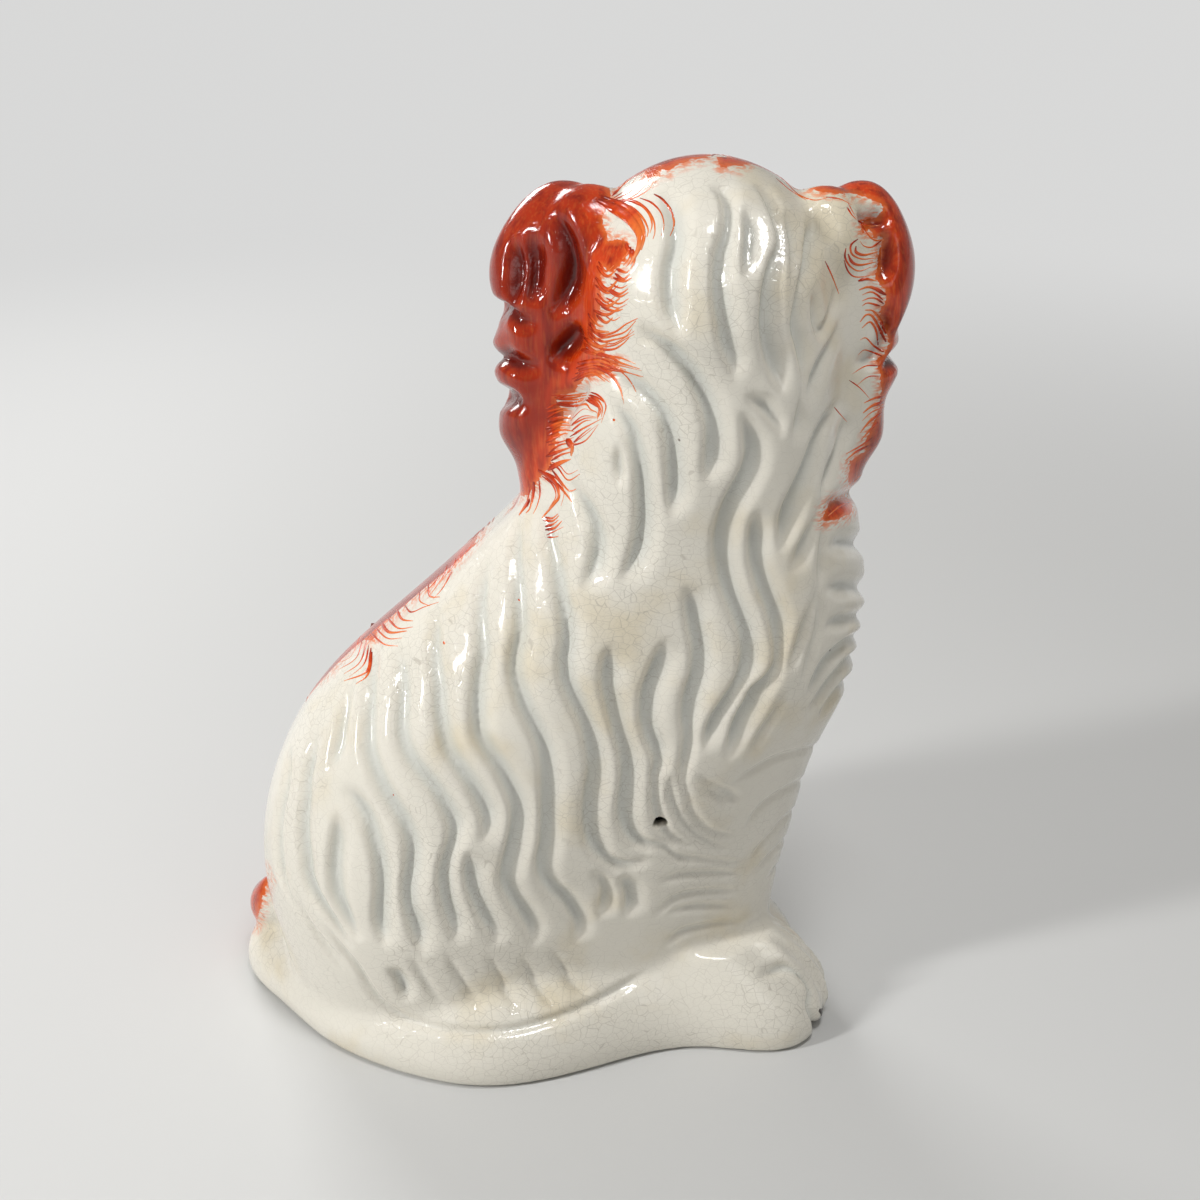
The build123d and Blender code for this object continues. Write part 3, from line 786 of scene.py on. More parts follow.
bare_from_photo = (
    ((610, 211), (602, 219), (603, 225), (608, 235), (608, 241), (624, 239), (636, 239), (634, 229),
     (626, 219), (618, 213)),
    ((862, 232), (868, 236), (874, 235), (868, 229)),
)
# The same on the front, in millimetres across and up
red_from_front = (
    ((-100, 252), (-74, 252), (-69, 238), (-71, 224), (-69, 208), (-73, 192), (-70, 177), (-74, 163),
     (-79, 153), (-100, 150)),
    ((30, 252), (-8, 252), (-12, 238), (-9, 223), (-11, 207), (-7, 192), (-11, 177), (-8, 165), (-3, 154),
     (30, 150)),
    ((-24, 252), (-42, 252), (-40, 240), (-36, 233), (-31, 229), (-26, 222), (-21, 226), (-18, 236)),
    ((-45, 252), (-57, 252), (-63, 238), (-60, 229), (-55, 223), (-50, 230), (-45, 239)),
    ((16, 152), (22, 137), (18, 127), (25, 117), (33, 120), (35, 107), (44, 101), (52, 106), (56, 95),
     (66, 90), (74, 98), (95, 112), (40, 165)),
    ((34, 66), (41, 74), (54, 76), (65, 70), (69, 60), (63, 50), (52, 44), (42, 48), (36, 56)),
    ((-36, 96), (-27, 104), (-14, 102), (-5, 94), (-8, 84), (-18, 77), (-30, 80), (-38, 88)),
    ((40, 13), (44, 24), (58, 31), (82, 35), (98, 32), (98, 6), (66, 5), (46, 5)),
)
COLLAR_WAY = ((-75, 168.3), (-58.5, 156.5), (-39, 152.3), (-18, 156.5), (-1.5, 166.1))
CHAIN_WAY = ((-36, 136.3), (-22.5, 118.2), (0, 105.4), (25.5, 101.2), (51, 106.5))
LOCK_PLACE = (-39.0, 142.1)
COLLAR_HALF, CHAIN_HALF, LOCK_RADIUS, GILT_BEHIND = 3.0, 1.3, 6.0, 0.004
BACK_FACING = -0.05
# Millimetres from any paint, taken off again in the glaze: what is kept starts
# from 0, which is also what a freshly cut wall gets
NO_PAINT = 9.0


def inside(places, outline):
    """Signed distance of places within an outline, above 0 inside."""
    corners = np.array(outline, float)
    away = np.full(len(places), 1e9)
    within = np.zeros(len(places), bool)
    for a, b in zip(corners, np.roll(corners, -1, axis=0)):
        way = b - a
        t = np.clip((places - a) @ way / (way @ way), 0, 1)
        away = np.minimum(away, np.linalg.norm(places - a - t[:, None] * way, axis=1))
        crosses = (a[1] > places[:, 1]) != (b[1] > places[:, 1])
        rise = b[1] - a[1] if b[1] != a[1] else 1e-9
        within ^= crosses & (places[:, 0] < (places[:, 1] - a[1]) / rise * way[0] + a[0])
    return np.where(within, away, -away)


def from_way(places, way, half_width):
    """Signed distance of places within a band along a smooth way."""
    line = np.array([tuple(p) for p in smooth_way(way, 1.0)])[:, :2]
    away = np.full(len(places), 1e9)
    for a in line:
        away = np.minimum(away, np.linalg.norm(places - a, axis=1))
    return half_width - away


px_per_mm = FOCUS_PX / (DISTANCE * 1000)
on_photo = pixels(points)
on_front = points[:, [0, 2]] * 1000
red_back = np.max([inside(on_photo, outline) for outline in red_from_photo], axis=0) / px_per_mm
bare = np.max([inside(on_photo, outline) for outline in bare_from_photo], axis=0) / px_per_mm
red_back = np.minimum(red_back, -bare)
red_front = np.max([inside(on_front, outline) for outline in red_from_front], axis=0)
faces_back = smooth_normals[:, 1] > BACK_FACING
red = np.where(faces_back, red_back, red_front)
gilt = np.maximum(from_way(on_front, COLLAR_WAY, COLLAR_HALF), from_way(on_front, CHAIN_WAY, CHAIN_HALF))
gilt = np.maximum(gilt, LOCK_RADIUS - np.linalg.norm(on_front - np.array(LOCK_PLACE), axis=1))
gilt = np.where(points[:, 1] < GILT_BEHIND, gilt, -NO_PAINT)
for title, values in (("red", red), ("gilt", gilt)):
    values = np.clip(values, -NO_PAINT, NO_PAINT) + NO_PAINT
    combed.attributes.new(title, "FLOAT", "POINT").data.foreach_set("value", values.astype(np.float32))

# Feathering. The painter drew the red out into the white with the tip of a
# pencil brush, in quick curved strokes that thin from dark to orange.
STROKE_STEP_PX = 1.2
STROKE_THICKNESS = 0.22
# Enamel at the root of a stroke is wider than its line in the photograph
STROKE_SPREAD, STROKE_LEAST, STROKE_MOST = 1.5, 0.55, 1.35
LONGEST_JUMP = 0.003
FRONT_PITCH, FRONT_LENGTH, FRONT_WIDTH = 1.3, 4.8, 0.0009
FRONT_STROKE_STEP_MM = 0.4
# The strokes of the front start inside their patch, lean one way and sag
START_INSIDE = 1.8
STROKE_LEAN, SAG_WAY = Vector((-0.35, -0.45, 0)), Vector((0.25, -1, 0))
# Width of a stroke: share at its very start, how fast it grows to full, and how
# much it has thinned at the tip
START_SHARE, GROWTH, THINNED = 0.35, 5, 0.75
SHAKE_PX = 0.9
hand = np.random.default_rng(5)


def between(first, last, count):
    """Strokes that turn by hand, step by step, from the first into the last."""
    found = []
    for i in range(count):
        t = (i + hand.uniform(-0.45, 0.45)) / (count - 1)
        line = [Vector((a[0] + (b[0] - a[0]) * t, a[1] + (b[1] - a[1]) * t)) for a, b in zip(first, last)]
        line = [p + Vector(hand.normal(0, SHAKE_PX, 2)) for p in line]
        line[-1] = line[-1] + (line[-1] - line[-2]) * hand.uniform(-0.45, 0.30)
        line[0] = line[0] + (line[0] - line[1]) * hand.uniform(0.0, 0.25)
        found.append([tuple(p) for p in line])
    return found


# Each group: width at the root in pixels, and its strokes from root to tip
strokes_from_photo = (
    # Left of the crown
    (2.2, [((612, 196), (620, 188), (630, 179)), ((614, 198), (628, 188), (638, 175)),
           ((614, 200), (630, 192), (640, 183)), ((612, 202), (630, 198), (644, 187), (650, 179)),
           ((614, 204), (634, 198), (648, 190), (655, 179)),
           ((614, 203), (630, 207), (642, 217), (648, 229), (647, 237)),
           ((630, 201), (644, 207), (653, 219), (655, 231), (653, 239)),
           ((654, 194), (662, 199), (670, 209), (674, 221), (673, 229), (670, 236)),
           ((616, 206), (628, 212), (637, 222), (642, 233), (640, 243)),
           ((622, 199), (638, 203), (648, 212), (652, 224), (650, 233)),
           ((640, 198), (652, 203), (661, 213), (664, 226), (661, 236))]),
    (6.5, [((598, 200), (615, 209), (629, 219), (638, 231), (640, 241), (637, 252), (630, 264))]),
    (4.5, [((604, 197), (620, 204), (634, 214), (642, 226), (644, 238), (641, 250))]),
    (2.0, between(((618, 268), (626, 270), (632, 267)), ((602, 312), (614, 318), (628, 313)), 10)),
    (3.0, between(((598, 262), (607, 272), (618, 262)), ((596, 318), (606, 324), (619, 316)), 8)),
    (3.0, between(((590, 316), (598, 326), (606, 328)), ((584, 352), (596, 356), (608, 352)), 9)),
    (2.6, between(((626, 244), (629, 254), (622, 262)), ((632, 250), (634, 262), (628, 272)), 4)),
    # Comb below the ear's knee
    (1.8, between(((588, 322), (600, 332), (614, 331), (626, 325), (636, 318)),
                  ((592, 344), (602, 351), (614, 350), (624, 345), (632, 338)), 6)),
    (2.0, between(((594, 352), (608, 357), (622, 360), (634, 364)),
                  ((598, 366), (614, 370), (630, 376), (646, 380)), 5)),
    (2.4, [((596, 358), (608, 362), (624, 374), (632, 384), (636, 392)),
           ((592, 366), (606, 372), (616, 382), (622, 394), (624, 404))]),
    (5.0, [((590, 364), (600, 368), (612, 376), (620, 388), (623, 400))]),
    (2.4, between(((580, 362), (600, 360), (622, 368)), ((576, 380), (590, 374), (610, 384)), 7)),
    # Swirl
    (2.2, between(((555, 396), (576, 394), (588, 391), (600, 395), (607, 404), (604, 419)),
                  ((560, 404), (574, 404), (586, 404), (592, 408), (596, 413), (597, 419)), 6)),
    (1.5, between(((572, 420), (584, 412), (598, 414)), ((572, 446), (584, 438), (598, 426)), 9)),
    (5.5, [((566, 440), (572, 446), (571, 456))]),
    (2.0, [((552, 462), (560, 466), (568, 474), (578, 470)),
           ((550, 464), (558, 468), (568, 480), (580, 474)),
           ((552, 470), (566, 488), (571, 491), (576, 489)), ((556, 482), (566, 494), (572, 502))]),
    (2.6, between(((548, 408), (560, 404), (572, 406)), ((550, 470), (562, 464), (574, 460)), 14)),
    # Hooks at the ear's end
    (4.0, [((538, 470), (548, 476), (556, 484), (559, 496), (554, 504), (542, 518)),
           ((534, 482), (533, 496), (530, 508), (526, 513))]),
    (2.2, [((539, 480), (540, 494), (537, 506), (533, 514)),
           ((542, 476), (552, 484), (556, 496), (549, 508)),
           ((546, 472), (558, 480), (564, 492), (561, 506)),
           ((530, 486), (528, 498), (524, 508), (519, 514))]),
    (2.0, between(((545, 518), (553, 518), (560, 511)), ((547, 536), (554, 535), (561, 531)), 6)),
    (5.0, [((530, 500), (524, 508), (519, 515))]),
    # Right of the crown
    (1.6, [((770, 170), (784, 180), (798, 194), (814, 200), (830, 197)), ((776, 178), (790, 190), (806, 200)),
           ((848, 203), (856, 217), (865, 225), (880, 226)), ((826, 197), (840, 199), (852, 205))]),
    # Swirl on the right ear
    (3.0, [((847, 207), (852, 215), (860, 222), (870, 226), (880, 225))]),
    (2.6, [((858, 239), (851, 245), (852, 254), (862, 259), (876, 258)),
           ((882, 240), (872, 247), (864, 246), (860, 241)),
           ((860, 222), (866, 232), (874, 240), (884, 240))]),
    (2.2, [((846, 248), (845, 257), (850, 266), (859, 271), (871, 267)),
           ((844, 260), (848, 271), (856, 277), (874, 275)),
           ((856, 246), (856, 252), (864, 255), (877, 252)),
           ((848, 254), (852, 262), (860, 265), (876, 262)),
           ((858, 281), (866, 279), (877, 281)), ((886, 295), (876, 289), (868, 287), (859, 290)),
           ((883, 300), (876, 294), (870, 292), (862, 295)),
           ((884, 304), (877, 299), (870, 298), (862, 301)),
           ((880, 306), (868, 303), (862, 306))]),
    (2.4, [((886, 342), (878, 326), (872, 316), (866, 315), (860, 322)),
           ((878, 345), (876, 331), (870, 322), (862, 328)),
           ((886, 334), (880, 320), (873, 311), (865, 310)),
           ((884, 352), (874, 346), (866, 338), (860, 340)),
           ((882, 356), (872, 352), (864, 350), (858, 355))]),
    (2.4, [((884, 397), (875, 398), (864, 403)), ((884, 402), (872, 406), (863, 413)),
           ((885, 407), (872, 412), (862, 421)), ((882, 413), (870, 421), (860, 433)),
           ((878, 422), (870, 430), (861, 440)), ((872, 438), (860, 446), (846, 454)),
           ((868, 446), (856, 452), (845, 461))]),
    (1.4, [((825, 261), (832, 276), (839, 294)), ((849, 380), (860, 388), (870, 399)),
           ((834, 407), (840, 414), (847, 422)), ((880, 366), (866, 366), (852, 374)),
           ((880, 376), (868, 377), (856, 386)), ((872, 470), (860, 476), (850, 487)),
           ((866, 484), (856, 489), (846, 498)), ((850, 502), (840, 506), (828, 516))]),
    # Flank
    (2.4, [((452, 570), (449, 577), (442, 589), (433, 599)),
           ((446, 572), (442, 578), (436, 587), (427, 599)),
           ((438, 578), (433, 584), (424, 594)), ((404, 604), (411, 612), (424, 607), (439, 602)),
           ((396, 608), (402, 619), (413, 621)), ((386, 616), (398, 628), (413, 627)),
           ((380, 620), (389, 632), (407, 631)), ((374, 626), (387, 638), (402, 638)),
           ((370, 632), (384, 644), (398, 646))]),
    (2.2, [((360, 636), (351, 656), (333, 665)), ((363, 638), (356, 658), (338, 670)),
           ((367, 640), (360, 662), (344, 674)), ((369, 644), (364, 664), (349, 677)),
           ((371, 648), (367, 671), (344, 681)), ((372, 652), (368, 674), (356, 684)),
           ((420, 590), (420, 601), (430, 606)), ((428, 584), (430, 596), (440, 597))]),
    (2.0, between(((470, 545), (464, 556), (456, 566)), ((440, 576), (436, 586), (428, 594)), 6)),
    (2.6, [((393, 794), (394, 796)), ((613, 419), (615, 421)), ((443, 642), (445, 644)),
           ((518, 599), (520, 601))]),
)


def feathered(outline, pitch, length, seed):
    """Short strokes drawn outwards all round a patch, all leaning one way."""
    chance = np.random.default_rng(seed)
    corners = [Vector((*p, 0)) for p in outline]
    middle = sum(corners, Vector()) / len(corners)
    found = []
    for a, b in zip(corners, corners[1:] + corners[:1]):
        way = b - a
        for i in range(int(way.length / pitch)):
            start = a + way * ((i + chance.uniform(0.2, 0.8)) * pitch / way.length)
            out = Vector((way.y, -way.x, 0)).normalized()
            if out.dot(start - middle) < 0:
                out = -out
            out = (out + STROKE_LEAN).normalized()
            sag = SAG_WAY * length * chance.uniform(0.25, 0.55)
            reach = length * chance.uniform(0.35, 1.0)
            found.append([tuple(start - out * START_INSIDE)[:2], tuple(start + out * reach * 0.45)[:2],
                          tuple(start + out * reach * 0.8 + sag)[:2]])
    return found


def brush_mesh(name, strokes):
    """Edges along strokes on the glaze, with half width, tip and way out."""
    points, edges, halves, tips, outs = [], [], [], [], []
    for line, width in strokes:
        runs = [[line[0]]]
        for a, b in zip(line, line[1:]):
            if (b - a).length > LONGEST_JUMP:
                runs.append([])
            runs[-1].append(b)
        for run in runs:
            if len(run) < 3:
                continue
            for i, place in enumerate(run):
                t = i / (len(run) - 1)
                grown = START_SHARE + (1 - START_SHARE) * min(1, GROWTH * t)
                halves.append(width / 2 * grown * (1 - THINNED * t ** 1.5))
                tips.append(t)
                outs.extend(combed_tree.find_nearest(place)[1])
                if i:
                    edges.append((len(points) - 1, len(points)))
                points.append(place)
    mesh = bpy.data.meshes.new(name)
    mesh.from_pydata(points, edges, [])
    mesh.attributes.new("half", "FLOAT", "POINT").data.foreach_set("value", halves)
    mesh.attributes.new("tip", "FLOAT", "POINT").data.foreach_set("value", tips)
    mesh.attributes.new("out", "FLOAT_VECTOR", "POINT").data.foreach_set("vector", outs)
    return new_piece(name, mesh)


def brush_group():
    """Group that lays a flat, thin lens of enamel along each stroke."""
    tree, keys, n, given, result = new_group("brush_strokes", {"Thickness": "Float", "Enamel": "Material"})
    curve = n.add("GeometryNodeMeshToCurve", {0: given["Geometry"]}).outputs[0]
    turned = n.add("GeometryNodeSetCurveNormal", {"Curve": curve}, mode="FREE")
    n.put(turned.inputs["Normal"], n.named("out", "FLOAT_VECTOR"))
    section = n.add("GeometryNodeCurvePrimitiveCircle", {"Resolution": 6, "Radius": 1.0}, mode="RADIUS")
    scale = n.add("ShaderNodeCombineXYZ", {"X": given["Thickness"], "Y": 1.0, "Z": 1.0}).outputs[0]
    flat = n.add("GeometryNodeTransform", {"Geometry": section.outputs[0], "Scale": scale}).outputs[0]
    swept = n.add("GeometryNodeCurveToMesh", {"Curve": turned.outputs[0], "Profile Curve": flat,
                                              "Scale": n.named("half"), "Fill Caps": True}).outputs[0]
    real = n.add("GeometryNodeRealizeInstances", {0: swept}).outputs[0]
    coated = n.add("GeometryNodeSetMaterial", {"Geometry": real, "Material": given["Enamel"]})
    n.put(result, coated.outputs[0])
    return tree, keys


brush = brush_group()


def painted(name, strokes, enamel):
    """A piece of enamel strokes, ready as a plain mesh."""
    piece = brush_mesh(name, strokes)
    worked(piece, brush, {"Thickness": STROKE_THICKNESS, "Enamel": enamel}).shade_smooth()
    return piece


combed_tree = BVHTree.FromObject(skin, bpy.context.evaluated_depsgraph_get())
red_strokes = []
for width, lines in strokes_from_photo:
    for line in lines:
        laid = laid_from_photo(combed_tree, line, STROKE_STEP_PX)
        if len(laid) > 2:
            spread = STROKE_SPREAD * hand.uniform(STROKE_LEAST, STROKE_MOST)
            red_strokes.append((laid, spread * width / px_per_mm / 1000))
for i, outline in enumerate(red_from_front[2:7]):
    for line in feathered(outline, FRONT_PITCH, FRONT_LENGTH, 3 + i):
        laid = laid_from_front(combed_tree, line, FRONT_STROKE_STEP_MM)
        if len(laid) > 2:
            red_strokes.append((laid, FRONT_WIDTH))

# Glaze. A soft lead glaze, cream white over the pale body. It pools bluish in
# the partings, which are also greyed as painted shade, has gone yellow in
# patches, and is crazed all over in fine lines.
WHITE = (0.765, 0.730, 0.640, 1)
STAIN = (0.69, 0.60, 0.42, 1)
# Bluish grey of glaze pooled in the partings, and partly painted shade of the furrows
POOL_AND_SHADE = (0.60, 0.625, 0.59, 1)
CRAZE = (0.36, 0.32, 0.26, 1)
RED = (0.62, 0.048, 0.003, 1)
RED_DARK = (0.17, 0.006, 0.002, 1)
# Darkest red, for enamel lying thick in the partings and for painted shade there
RED_POOL_AND_SHADE = (0.115, 0.005, 0.003, 1)
RED_THIN = (0.78, 0.17, 0.030, 1)
RED_FAINT = (0.80, 0.42, 0.22, 1)
GOLD = (0.83, 0.56, 0.20, 1)
BLACK = (0.012, 0.010, 0.009, 1)
OCHRE = (0.62, 0.33, 0.05, 1)
SPECK = (0.10, 0.055, 0.03, 1)
# Each net of cracks: cells across a metre, share of a cell that a crack takes, strength
CRAZING = ((330.0, 0.034, 1.0), (620.0, 0.040, 0.55))
RAGGED_MM, WORN_MM, WASH_MM = 1.9, 1.3, 3.4
# Cells of noise in a metre each way: the marks that bristles leave at an edge and
# in a wash, and the streaks along the way of the brush
EDGE_GRAIN, WASH_GRAIN = (420.0, 420.0, 1100.0), (420.0, 420.0, 1500.0)
STREAKS, FINE_STREAKS = (420.0, 420.0, 60.0), (1500.0, 1500.0, 200.0)
GLASS = 1.52
# Ovals painted on both sides of the face, one over the other: colour, middle and
# half sizes in millimetres aside and above the muzzle's middle
FACE_PAINT = (
    (BLACK, (13.5, 17.6), (5.6, 4.4)),
    (WHITE, (13.4, 17.3), (4.6, 3.5)),
    (OCHRE, (13.0, 17.4), (3.2, 3.0)),
    (BLACK, (12.8, 17.4), (1.9, 1.9)),
    (BLACK, (0.0, 9.4), (6.4, 3.9)),
)
WHISKER_SPOTS = ((9.5, -1.0), (13.0, 0.2), (16.3, -1.2), (10.5, -4.6), (14.0, -4.0), (12.0, -8.0))
SPOT_RADIUS = 0.75
KEYHOLE = (0.9, 2.0)
FACE_FRONT = -0.020


def blended(n, share, under, over):
    node = n.add("ShaderNodeMix", data_type="RGBA")
    n.put(node.inputs[0], share)
    n.put(node.inputs[6], under)
    n.put(node.inputs[7], over)
    return node.outputs[2]


def stepped(n, value, low, high, start=0.0, end=1.0):
    node = n.add("ShaderNodeMapRange", {"Value": value, "From Min": low, "From Max": high, "To Min": start,
                                        "To Max": end}, interpolation_type="SMOOTHSTEP")
    return node.outputs[0]


def noise(n, place, scale, detail=3.0):
    return n.add("ShaderNodeTexNoise", {"Vector": place, "Scale": scale, "Detail": detail}).outputs["Fac"]


def scaled(n, place, factors):
    return n.vector("MULTIPLY", place, factors)


def about(n, value, size):
    """A value from 0 to 1 turned into one that swings about 0."""
    return n.maths("MULTIPLY", n.maths("SUBTRACT", value, 0.5), size)


def value_of(n, title):
    return n.add("ShaderNodeAttribute", attribute_name=title).outputs["Fac"]


def new_finish(title):
    """A material, its nodes, its shader's inputs and the place on the piece."""
    finish = bpy.data.materials.new(title)
    finish.use_nodes = True
    n = Nodes(finish.node_tree)
    place = n.add("ShaderNodeTexCoord").outputs["Object"]
    return finish, n, finish.node_tree.nodes["Principled BSDF"].inputs, place


def white_glaze(n, place, sink):
    """Colour of the crazed white glaze, and its crazing lines."""
    colour = blended(n, stepped(n, noise(n, place, 38.0), 0.52, 0.74, 0, 0.65), WHITE, STAIN)
    # The partings grey with their depth: pooled glaze, and painted shade in the furrows
    colour = blended(n, stepped(n, sink, 0.0008, 0.0030, 0, 0.60), colour, POOL_AND_SHADE)
    wavy = n.add("ShaderNodeTexNoise", {"Vector": place, "Scale": 160.0, "Detail": 1.0}).outputs["Color"]
    swing = n.vector("SUBTRACT", wavy, (0.5, 0.5, 0.5))
    bent = n.vector("ADD", place, scaled(n, swing, (0.0022, 0.0022, 0.0022)))
    lines = 0.0
    for scale, thick, strength in CRAZING:
        cells = n.add("ShaderNodeTexVoronoi", {"Vector": scaled(n, bent, (1.0, 1.0, 1.35)), "Scale": scale},
                      feature="DISTANCE_TO_EDGE").outputs["Distance"]
        line = n.maths("MULTIPLY", stepped(n, cells, 0.0, thick, 1, 0), strength)
        lines = n.maths("MAXIMUM", lines, line)
    lines = n.maths("MULTIPLY", lines, stepped(n, noise(n, place, 26.0), 0.36, 0.62, 0.25, 1))
    colour = blended(n, n.maths("MULTIPLY", lines, 0.50), colour, CRAZE)
    speck = n.add("ShaderNodeTexVoronoi", {"Vector": place, "Scale": 95.0}, feature="F1").outputs
    rare = n.maths("GREATER_THAN", n.add("ShaderNodeSeparateColor", {0: speck["Color"]}).outputs[0], 0.86)
    dot = n.maths("MULTIPLY", stepped(n, speck["Distance"], 0.022, 0.045, 0.8, 0), rare)
    return blended(n, dot, colour, SPECK), lines


def red_enamel(n, place, depth, sink):
    """Colour of the brushed red where it lies this many millimetres in."""
    streak = noise(n, scaled(n, place, STREAKS), 1.0, 2.0)
    fine = noise(n, scaled(n, place, FINE_STREAKS), 1.0, 1.0)
    colour = blended(n, stepped(n, streak, 0.42, 0.72, 0, 0.68), RED, RED_DARK)
    colour = blended(n, stepped(n, fine, 0.45, 0.75, 0, 0.35), colour, RED_THIN)
    colour = blended(n, stepped(n, noise(n, place, 50.0), 0.45, 0.70, 0, 0.5), colour, RED_DARK)
    colour = blended(n, stepped(n, depth, 2.0, 8.0, 0, 0.55), colour, RED_DARK)
    # The partings darken the red by their depth: thicker enamel, and painted shade
    colour = blended(n, stepped(n, sink, 0.0004, 0.0030, 0, 0.85), colour, RED_POOL_AND_SHADE)
    return blended(n, stepped(n, depth, 0.0, 2.0, 0.6, 0), colour, RED_THIN)


def oval(n, across, up, middle, size):
    """Below 1 inside an oval of the face."""
    x = n.maths("DIVIDE", n.maths("SUBTRACT", across, middle[0]), size[0])
    z = n.maths("DIVIDE", n.maths("SUBTRACT", up, middle[1]), size[1])
    return n.maths("SQRT", n.maths("ADD", n.maths("MULTIPLY", x, x), n.maths("MULTIPLY", z, z)))


def face_and_gilding(n, place, colour):
    """The front's colour with its gilding, face and keyhole, and how much is gold."""
    worn = about(n, noise(n, place, 700.0), WORN_MM)
    gold = stepped(n, n.maths("SUBTRACT", n.maths("ADD", value_of(n, "gilt"), worn), NO_PAINT), -0.08, 0.08)
    colour = blended(n, gold, colour, GOLD)
    axes = n.add("ShaderNodeSeparateXYZ", {0: place}).outputs
    facing = n.maths("LESS_THAN", axes["Y"], FACE_FRONT)

    def in_mm(axis, middle):
        return n.maths("MULTIPLY", n.maths("SUBTRACT", axes[axis], middle), 1000.0)

    across = n.maths("MULTIPLY", n.maths("ABSOLUTE", n.maths("SUBTRACT", axes["X"], FACE_X)), 1000.0)
    up = in_mm("Z", FACE_Z)
    wobble = about(n, noise(n, place, 260.0), 0.16)
    spots = tuple((BLACK, spot, (SPOT_RADIUS, SPOT_RADIUS)) for spot in WHISKER_SPOTS)
    for paint, middle, size in FACE_PAINT + spots:
        edge = n.maths("ADD", oval(n, across, up, middle, size), wobble)
        colour = blended(n, n.maths("MULTIPLY", stepped(n, edge, 1.03, 0.97), facing), colour, paint)
    keyhole = oval(n, in_mm("X", LOCK_PLACE[0] / 1000), in_mm("Z", LOCK_PLACE[1] / 1000), (0, 0), KEYHOLE)
    return blended(n, n.maths("MULTIPLY", stepped(n, keyhole, 1.05, 0.9), facing), colour, BLACK), gold


def glaze_finish(title, is_front):
    finish, n, surface, place = new_finish(title)
    sink = value_of(n, "sink")
    colour, lines = white_glaze(n, place, sink)
    ragged = about(n, noise(n, scaled(n, place, EDGE_GRAIN), 1.0), RAGGED_MM)
    depth = n.maths("SUBTRACT", n.maths("ADD", value_of(n, "red"), ragged), NO_PAINT)
    red = stepped(n, depth, -0.12, 0.12)
    brushed = stepped(n, noise(n, scaled(n, place, WASH_GRAIN), 1.0), 0.40, 0.60)
    wash = n.maths("MULTIPLY", stepped(n, depth, -WASH_MM, 0.0, 0, 0.85), brushed)
    colour = blended(n, wash, colour, RED_THIN)
    colour = blended(n, red, colour, red_enamel(n, place, depth, sink))
    rough = stepped(n, noise(n, place, 90.0), 0.3, 0.7, 0.05, 0.11)
    rough = n.maths("ADD", rough, n.maths("MULTIPLY", red, 0.02))
    if is_front:
        colour, gold = face_and_gilding(n, place, colour)
        rough = n.maths("ADD", rough, n.maths("MULTIPLY", gold, 0.14))
        n.put(surface["Metallic"], gold)
    n.put(surface["Base Color"], colour)
    n.put(surface["Roughness"], rough)
    n.put(surface["IOR"], GLASS)
    relief = n.maths("MULTIPLY", noise(n, place, 150.0, 1.0), 0.6)
    relief = n.maths("ADD", n.maths("MULTIPLY", lines, -0.35), relief)
    relief = n.maths("ADD", relief, n.maths("MULTIPLY", red, 0.5))
    bump = n.add("ShaderNodeBump", {"Height": relief, "Strength": 0.35, "Distance": 0.00018})
    n.put(surface["Normal"], bump.outputs["Normal"])
    return finish


# Halves. The figure is pressed in a back and a front mould, hollow behind an
# even wall, and luted edge to edge. The back's kiln vent was pierced by hand.
CUT_ABOUT = 0.28
BLOCK_CUTS = 40
VENT_CLEAR = 0.00245
VENT_RADIUS, VENT_DEPTH, VENT_SIDES = 0.0024, 0.024, 22
VENT_LEAST, VENT_MOST, VENT_FLAT = 0.80, 1.04, 0.72
HOLLOW_MIDDLE = Vector((0, 0, 0.06))
RIM_LOW, RIM_DROP = 0.0001, -0.01


def cutting_block(side):
    """A block on one side of the seam. Its faces are divided, so that the cut is too."""
    low = Vector((-CUT_ABOUT, 0 if side > 0 else -CUT_ABOUT, -CUT_ABOUT))
    high = Vector((CUT_ABOUT, CUT_ABOUT if side > 0 else 0, CUT_ABOUT))
    box = bmesh.new()
    bmesh.ops.create_cube(box, size=1, matrix=Matrix.LocRotScale((low + high) / 2, None, high - low))
    bmesh.ops.subdivide_edges(box, edges=box.edges, cuts=BLOCK_CUTS, use_grid_fill=True)
    return piece_from("block", box)


def open_edges(form):
    return [edge for edge in form.edges if len(edge.link_faces) == 1]


def joined_faces(first):
    """Every face that can be reached from the first one over edges."""
    reached = {first}
    waiting = [first]
    while waiting:
        for edge in waiting.pop().edges:
            for other in edge.link_faces:
                if other not in reached:
                    reached.add(other)
                    waiting.append(other)
    return reached


